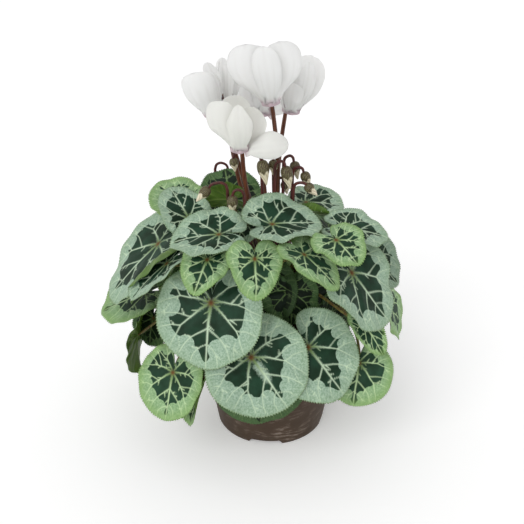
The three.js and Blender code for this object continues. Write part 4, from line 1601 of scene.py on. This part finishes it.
BUDS = [
    Bud("bud_1", (-39, -22, 234), (-48, -22, 230), (-57, -22, 219.5), -85),
    Bud("bud_2", (-26, -26, 230), (-30, -26, 225), (-30.5, -26, 211), -55),
    Bud("bud_3", (-8, -11, 253), (-8, -14, 249), (-4.6, -15, 231), -25),
    Bud("bud_4", (1, -3, 251), (1, -6.5, 246), (1, -7.5, 235), 33),
    Bud("bud_5", (7, -13.5, 248), (10, -14, 244), (13.6, -14, 227), 5),
    Bud("bud_6", (14, 2, 246), (17, 2, 241), (20, 1, 228), 115),
    Bud("bud_7", (21, -4, 239), (24.5, -4.5, 235), (29, -5, 224), 85),
    Bud("bud_8", (21.5, -13, 230), (26, -14, 229), (34, -15, 221), 58),
    Bud("bud_9", (-27, 10, 246), (-30, 9, 241), (-29, 8, 231), -125),
    Bud("bud_10", (-43.5, 80, 206.5), (-37, 80, 200), (-36, 80, 190), -120, False,
        OUTER_BUD_RING),
    Bud("bud_11", (7, 5, 226), (10, 5, 223), (12, 5, 213), 100, False, OUTER_BUD_RING),
]


# ---- pot ----
FULL_TURN = 6.28
# Named inputs of the two node trees, with lengths in metres.
DRAIN_SIZES = {"Count": 6, "Circle radius": 30 * MM, "Hole radius": 3.5 * MM}
CRUMB_SIZES = {"Crumbs per area": 70000.0, "Crumb radius": 1.3 * MM, "Seed": 7}


@dataclass
class Pot:
    """Round plastic pot on a notched foot ring, with its soil and the tuber in it.

    Attributes:
        sides: points round the pot.
        foot_radius: outer radius of the foot ring.
        notch_width: of each of the foot ring's four breaks.
        notch_turn: turn of the breaks from the front, in degrees.
        soil_z: height of the soil's top.
    """

    # Rows of the pot's profile that the breaks lift.
    FOOT_ROWS = range(7, 14)

    sides: int = 180
    foot_radius: float = 46.5
    notch_width: float = 27.0
    notch_turn: float = -6.0
    soil_z: float = 98.0

    def shell(self) -> Shell:
        """Turns the pot's wall, floor and foot, and breaks the foot ring.

        Returns:
            The pot's closed shell, before it is drilled.
        """
        profile = [
            (5, 0.15), (9.6, 0.15), (10, 0.6), (10, 3.1), (10.5, 3.5), (25, 3.5), (38, 3.5),
            (43, 3.5), (43.5, 3.0), (43.5, 0.4), (43.9, 0), (46.0, 0), (46.5, 0.4),
            (47.1, 4), (48.9, 15), (51.5, 30), (53.5, 42), (55.6, 55), (57.6, 67), (59.6, 80),
            (60.8, 87.2), (61.4, 88), (63.0, 88), (63.5, 88.5), (64.1, 97), (64.8, 107.5),
            (65, 109), (64.7, 109.8), (64.2, 110), (63.7, 109.7), (63.4, 109), (62.4, 97),
            (61.9, 90.2), (61.4, 89.7), (59.9, 89.5), (59.2, 87), (56.0, 67), (52.0, 42),
            (47.6, 15), (45.9, 6.5), (45.2, 5.4), (44.4, 5.1), (30, 5.1), (12, 5.1),
        ]
        rings = lathe(profile, self.sides)
        turn = np.degrees(turns(self.sides))
        half = math.degrees(math.asin(self.notch_width / 2 / self.foot_radius))
        gap = np.abs((turn - self.notch_turn + 45) % 90 - 45)
        lift = 3.4 * smooth(half - gap, -0.6, 1.6)
        for i in self.FOOT_ROWS:
            height = rings[i, :, 2]
            roof = 3.5 + 0.5 * (i == self.FOOT_ROWS[-1])
            rings[i, :, 2] = np.maximum(height, np.minimum(lift + 0.2 * height, roof))
        return Shell(rings, (np.array([0, 0, 0.15]), np.array([0, 0, 5.1])))

    def started(self, name: str,
                sizes: dict[str, float]) -> tuple[bpy.types.NodeTree, bpy.types.Node]:
        """Starts a node tree that changes a mesh.

        Args:
            name: of the tree.
            sizes: its named inputs; a whole number makes a whole-number input.

        Returns:
            The tree and the node with its inputs.
        """
        tree = bpy.data.node_groups.new(name, "GeometryNodeTree")
        for way in ("INPUT", "OUTPUT"):
            tree.interface.new_socket("Mesh", in_out=way, socket_type="NodeSocketGeometry")
        for label, value in sizes.items():
            kind = "NodeSocketInt" if isinstance(value, int) else "NodeSocketFloat"
            tree.interface.new_socket(label, in_out="INPUT", socket_type=kind)
        return tree, add_node(tree, "NodeGroupInput")

    def ended(self, tree: bpy.types.NodeTree, shape: Socket,
              finish: bpy.types.Material) -> bpy.types.NodeTree:
        """Ends a node tree in real geometry that wears a finish.

        Args:
            tree: the node tree.
            shape: output with the changed mesh.
            finish: what it wears.

        Returns:
            The same tree.
        """
        real = add_node(tree, "GeometryNodeRealizeInstances", {"Geometry": shape})
        dress = add_node(tree, "GeometryNodeSetMaterial", {
            "Geometry": real.outputs["Geometry"], "Material": finish})
        add_node(tree, "NodeGroupOutput", {"Mesh": dress.outputs["Geometry"]})
        return tree

    def drains(self, plastic: bpy.types.Material) -> bpy.types.NodeTree:
        """Makes the nodes that cut a ring of round drain holes into the floor.

        Args:
            plastic: finish of the pot.

        Returns:
            The node tree.
        """
        tree, inputs = self.started("drain_holes", DRAIN_SIZES)
        ring = add_node(tree, "GeometryNodeCurvePrimitiveCircle", {
            "Resolution": inputs.outputs["Count"], "Radius": inputs.outputs["Circle radius"]})
        spots = add_node(tree, "GeometryNodeCurveToPoints", {
            "Curve": ring.outputs["Curve"]}, mode="EVALUATED")
        lift = add_node(tree, "GeometryNodeSetPosition", {
            "Geometry": spots.outputs["Points"], "Offset": (0, 0, 4.3 * MM)})
        drill = add_node(tree, "GeometryNodeMeshCylinder", {
            "Vertices": 24, "Radius": inputs.outputs["Hole radius"], "Depth": 6 * MM})
        drills = add_node(tree, "GeometryNodeInstanceOnPoints", {
            "Points": lift.outputs["Geometry"], "Instance": drill.outputs["Mesh"]})
        solid = add_node(tree, "GeometryNodeRealizeInstances", {
            "Geometry": drills.outputs["Instances"]})
        cut = add_node(tree, "GeometryNodeMeshBoolean", {
            "Mesh 1": inputs.outputs["Mesh"], "Mesh 2": solid.outputs["Geometry"]},
            operation="DIFFERENCE", solver="EXACT")
        return self.ended(tree, cut.outputs["Mesh"], plastic)

    def crumbs(self, peat: bpy.types.Material) -> bpy.types.NodeTree:
        """Makes the nodes that scatter crumbs of peat on the soil's top.

        Args:
            peat: finish of the soil.

        Returns:
            The node tree.
        """
        tree, inputs = self.started("peat_crumbs", CRUMB_SIZES)
        place = add_node(tree, "ShaderNodeSeparateXYZ", {
            "Vector": add_node(tree, "GeometryNodeInputPosition").outputs["Position"]})
        facing = add_node(tree, "ShaderNodeSeparateXYZ", {
            "Vector": add_node(tree, "GeometryNodeInputNormal").outputs["Normal"]})
        high = add_node(tree, "FunctionNodeCompare", {
            0: place.outputs["Z"], 1: (self.soil_z - 4) * MM}, operation="GREATER_THAN")
        upward = add_node(tree, "FunctionNodeCompare", {
            0: facing.outputs["Z"], 1: 0.6}, operation="GREATER_THAN")
        top = add_node(tree, "FunctionNodeBooleanMath", {
            0: high.outputs["Result"], 1: upward.outputs["Result"]})
        points = add_node(tree, "GeometryNodeDistributePointsOnFaces", {
            "Mesh": inputs.outputs["Mesh"], "Selection": top.outputs["Boolean"],
            "Density": inputs.outputs["Crumbs per area"], "Seed": inputs.outputs["Seed"]})
        crumb = add_node(tree, "GeometryNodeMeshIcoSphere", {
            "Radius": inputs.outputs["Crumb radius"], "Subdivisions": 2})
        spin = add_node(tree, "FunctionNodeRandomValue", {
            0: (0, 0, 0), 1: (FULL_TURN,) * 3, "Seed": 3}, data_type="FLOAT_VECTOR")
        size = add_node(tree, "FunctionNodeRandomValue", {
            0: (0.4, 0.4, 0.3), 1: (1.8, 1.3, 1.0), "Seed": 5}, data_type="FLOAT_VECTOR")
        strewn = add_node(tree, "GeometryNodeInstanceOnPoints", {
            "Points": points.outputs["Points"], "Instance": crumb.outputs["Mesh"],
            "Rotation": spin.outputs["Value"], "Scale": size.outputs["Value"]})
        both = add_node(tree, "GeometryNodeJoinGeometry", {
            "Geometry": strewn.outputs["Instances"]})
        tree.links.new(inputs.outputs["Mesh"], both.inputs["Geometry"])
        return self.ended(tree, both.outputs["Geometry"], peat)

    def grown(self, piece: bpy.types.Object, tree: bpy.types.NodeTree,
              sizes: dict[str, float]) -> bpy.types.Object:
        """Runs a node tree on a piece and keeps the result as a plain mesh.

        Args:
            piece: the piece to change.
            tree: the geometry nodes.
            sizes: values for the tree's named inputs.

        Returns:
            The same piece, with the made mesh and no modifier.
        """
        modifier = piece.modifiers.new(tree.name, "NODES")
        modifier.node_group = tree
        for socket in tree.interface.items_tree:
            if socket.in_out == "INPUT" and socket.name in sizes:
                modifier[socket.identifier] = sizes[socket.name]
        graph = bpy.context.evaluated_depsgraph_get()
        made = bpy.data.meshes.new_from_object(piece.evaluated_get(graph))
        piece.modifiers.remove(modifier)
        old, piece.data = piece.data, made
        bpy.data.meshes.remove(old)
        made.name = piece.name
        return piece

    def soil(self) -> Shell:
        """Fills the pot with soil, uneven on top, with a hollow for the tuber.

        Returns:
            The soil's closed shell.
        """
        profile = [
            (20, 5.6), (44.0, 5.6), (44.9, 6.5), (47.0, 16), (53.0, 52), (57.6, 80), (59.0, 88.5),
            (61.0, 90.6), (61.6, 93), (61.9, 96.4), (61.0, 97.4), (58, 97.9), (52, 98), (46, 98),
            (40, 98), (35, 98), (31, 98), (28.6, 97.4), (28.5, 90), (26.6, 79.4), (17.3, 70.2),
            (6, 68.2),
        ]
        rings = lathe(profile, 120)
        rng = np.random.default_rng(11)
        top = (rings[:, :, 2] > 97.2) & (np.hypot(rings[:, :, 0], rings[:, :, 1]) < 60)
        rings[:, :, 2] += np.where(top, rng.uniform(-1.0, 0.5, top.shape), 0)
        return Shell(rings, (np.array([0, 0, 5.6]), np.array([0, 0, 67.7])))

    def tuber(self) -> Shell:
        """Shapes the flattened tuber with its corky wrinkles.

        Returns:
            The tuber's closed shell.
        """
        profile = [(6, 68.1), (16.8, 70.5), (22.5, 74.6), (26.0, 79.5), (27.4, 85), (28.0, 90.3),
                   (27.8, 95), (26.8, 99.5), (25.4, 102.4), (23.5, 103.9), (18, 104), (10, 104.1)]
        rings = lathe(profile, 72)
        rng = np.random.default_rng(5)
        side = (rings[:, :, 2] > 98.5) & (rings[:, :, 2] < 103.5)
        bumps = 1 + np.where(side, rng.uniform(-0.03, 0.02, side.shape), 0)
        rings[:, :, :2] *= bumps[:, :, None]
        return Shell(rings, (np.array([0, 0, 68.0]), np.array([0, 0, 104.1])))

    def make(self) -> None:
        """Builds the pot, the soil and the tuber."""
        plastic = MouldedPlastic("moulded_polypropylene").make()
        pot = self.grown(build("fine_pot", [self.shell()], [plastic]), self.drains(plastic),
                         DRAIN_SIZES)
        mount(pot, "pot_plastic", "pot")
        peat = Earth("peat_mix").make()
        soil = self.grown(build("fine_soil", [self.soil()], [peat]), self.crumbs(peat), CRUMB_SIZES)
        mount(soil, "potting_soil", "potting_soil")
        cork = Earth("corky_tuber_skin", dark="#3a2a1c", light="#6b5138", grain_mm=4.0).make()
        mount(build("fine_tuber", [self.tuber()], [cork]), "tuber_skin", "tuber")


# ---- studio ----
@dataclass
class Studio:
    """White sweep, soft light from the upper left and a camera at the photograph's angle.

    Attributes:
        place: of the camera, in metres.
        pitch: of the camera, in degrees, where 90 is level.
        sensor: width of the camera's sensor.
        focal: length of the lens.
        sky: strength of the light from all sides.
        lamp: where the lamp's light comes from, in metres.
        lamp_spread: how wide the lamp looks, in degrees.
        lamp_power: of the lamp.
        aim: point that the lamp faces, in metres.
    """

    place: tuple[float, float, float] = (-0.0077, -0.672, 0.530)
    pitch: float = 60.7
    sensor: float = 36.0
    focal: float = 940 / 524 * 36
    sky: float = 0.72
    lamp: tuple[float, float, float] = (-0.6, -0.95, 1.0)
    lamp_spread: float = 40.0
    lamp_power: float = 1.0
    aim: tuple[float, float, float] = (0.0, 0.0, 0.15)

    def light(self) -> None:
        """Adds a broad, far, soft light that faces the plant's middle."""
        sun = bpy.data.lights.new("key", "SUN")
        sun.angle = math.radians(self.lamp_spread)
        sun.energy = self.lamp_power
        lamp = bpy.data.objects.new("key", sun)
        lamp.location = self.lamp
        way = Vector(self.aim) - Vector(self.lamp)
        lamp.rotation_euler = way.to_track_quat("-Z", "Y").to_euler()
        bpy.context.scene.collection.objects.link(lamp)

    def make(self) -> None:
        """Sets the floor, the light, the camera and the picture's tone."""
        scene = bpy.context.scene
        lens = bpy.data.cameras.new("camera")
        lens.sensor_width = self.sensor
        lens.lens = self.focal
        camera = bpy.data.objects.new("camera", lens)
        camera.location = self.place
        camera.rotation_euler = (math.radians(self.pitch), 0, 0)
        scene.collection.objects.link(camera)
        scene.camera = camera
        world = bpy.data.worlds.new("white_room")
        world.use_nodes = True
        air = world.node_tree.nodes["Background"]
        air.inputs["Strength"].default_value = self.sky
        air.inputs["Color"].default_value = (1, 1, 1, 1)
        scene.world = world
        bpy.ops.mesh.primitive_plane_add(size=12)
        floor = bpy.context.object
        floor.name = "floor"
        floor.data.materials.append(Paper("white_paper").make())
        self.light()
        scene.view_settings.view_transform = "Standard"
        scene.view_settings.look = "None"


def main() -> None:
    """Builds the studio and then the plant, piece by piece."""
    logging.basicConfig(level=logging.INFO, format="%(name)s: %(message)s")
    Studio().make()
    Pot().make()
    Foliage().make()
    stem = StemSkin("flower_stalk_skin").make()
    for index, flower in enumerate(FLOWERS):
        flower.seed = index + 1
        # Each flower gets its own copy of the petal finish in its own white; the front flower's
        # darker copy is painted shade.
        tissue = PetalTissue(f"petal_tissue_{flower.name}", white=flower.white)
        flower.make(tissue.make(), stem)
    hook = StemSkin("bud_stalk_skin", low="#3c1512", high="#5c2620").make()
    skin = BudSkin("bud_skin").make()
    for bud in BUDS:
        bud.make(hook, skin)


if __name__ == "__main__":
    main()
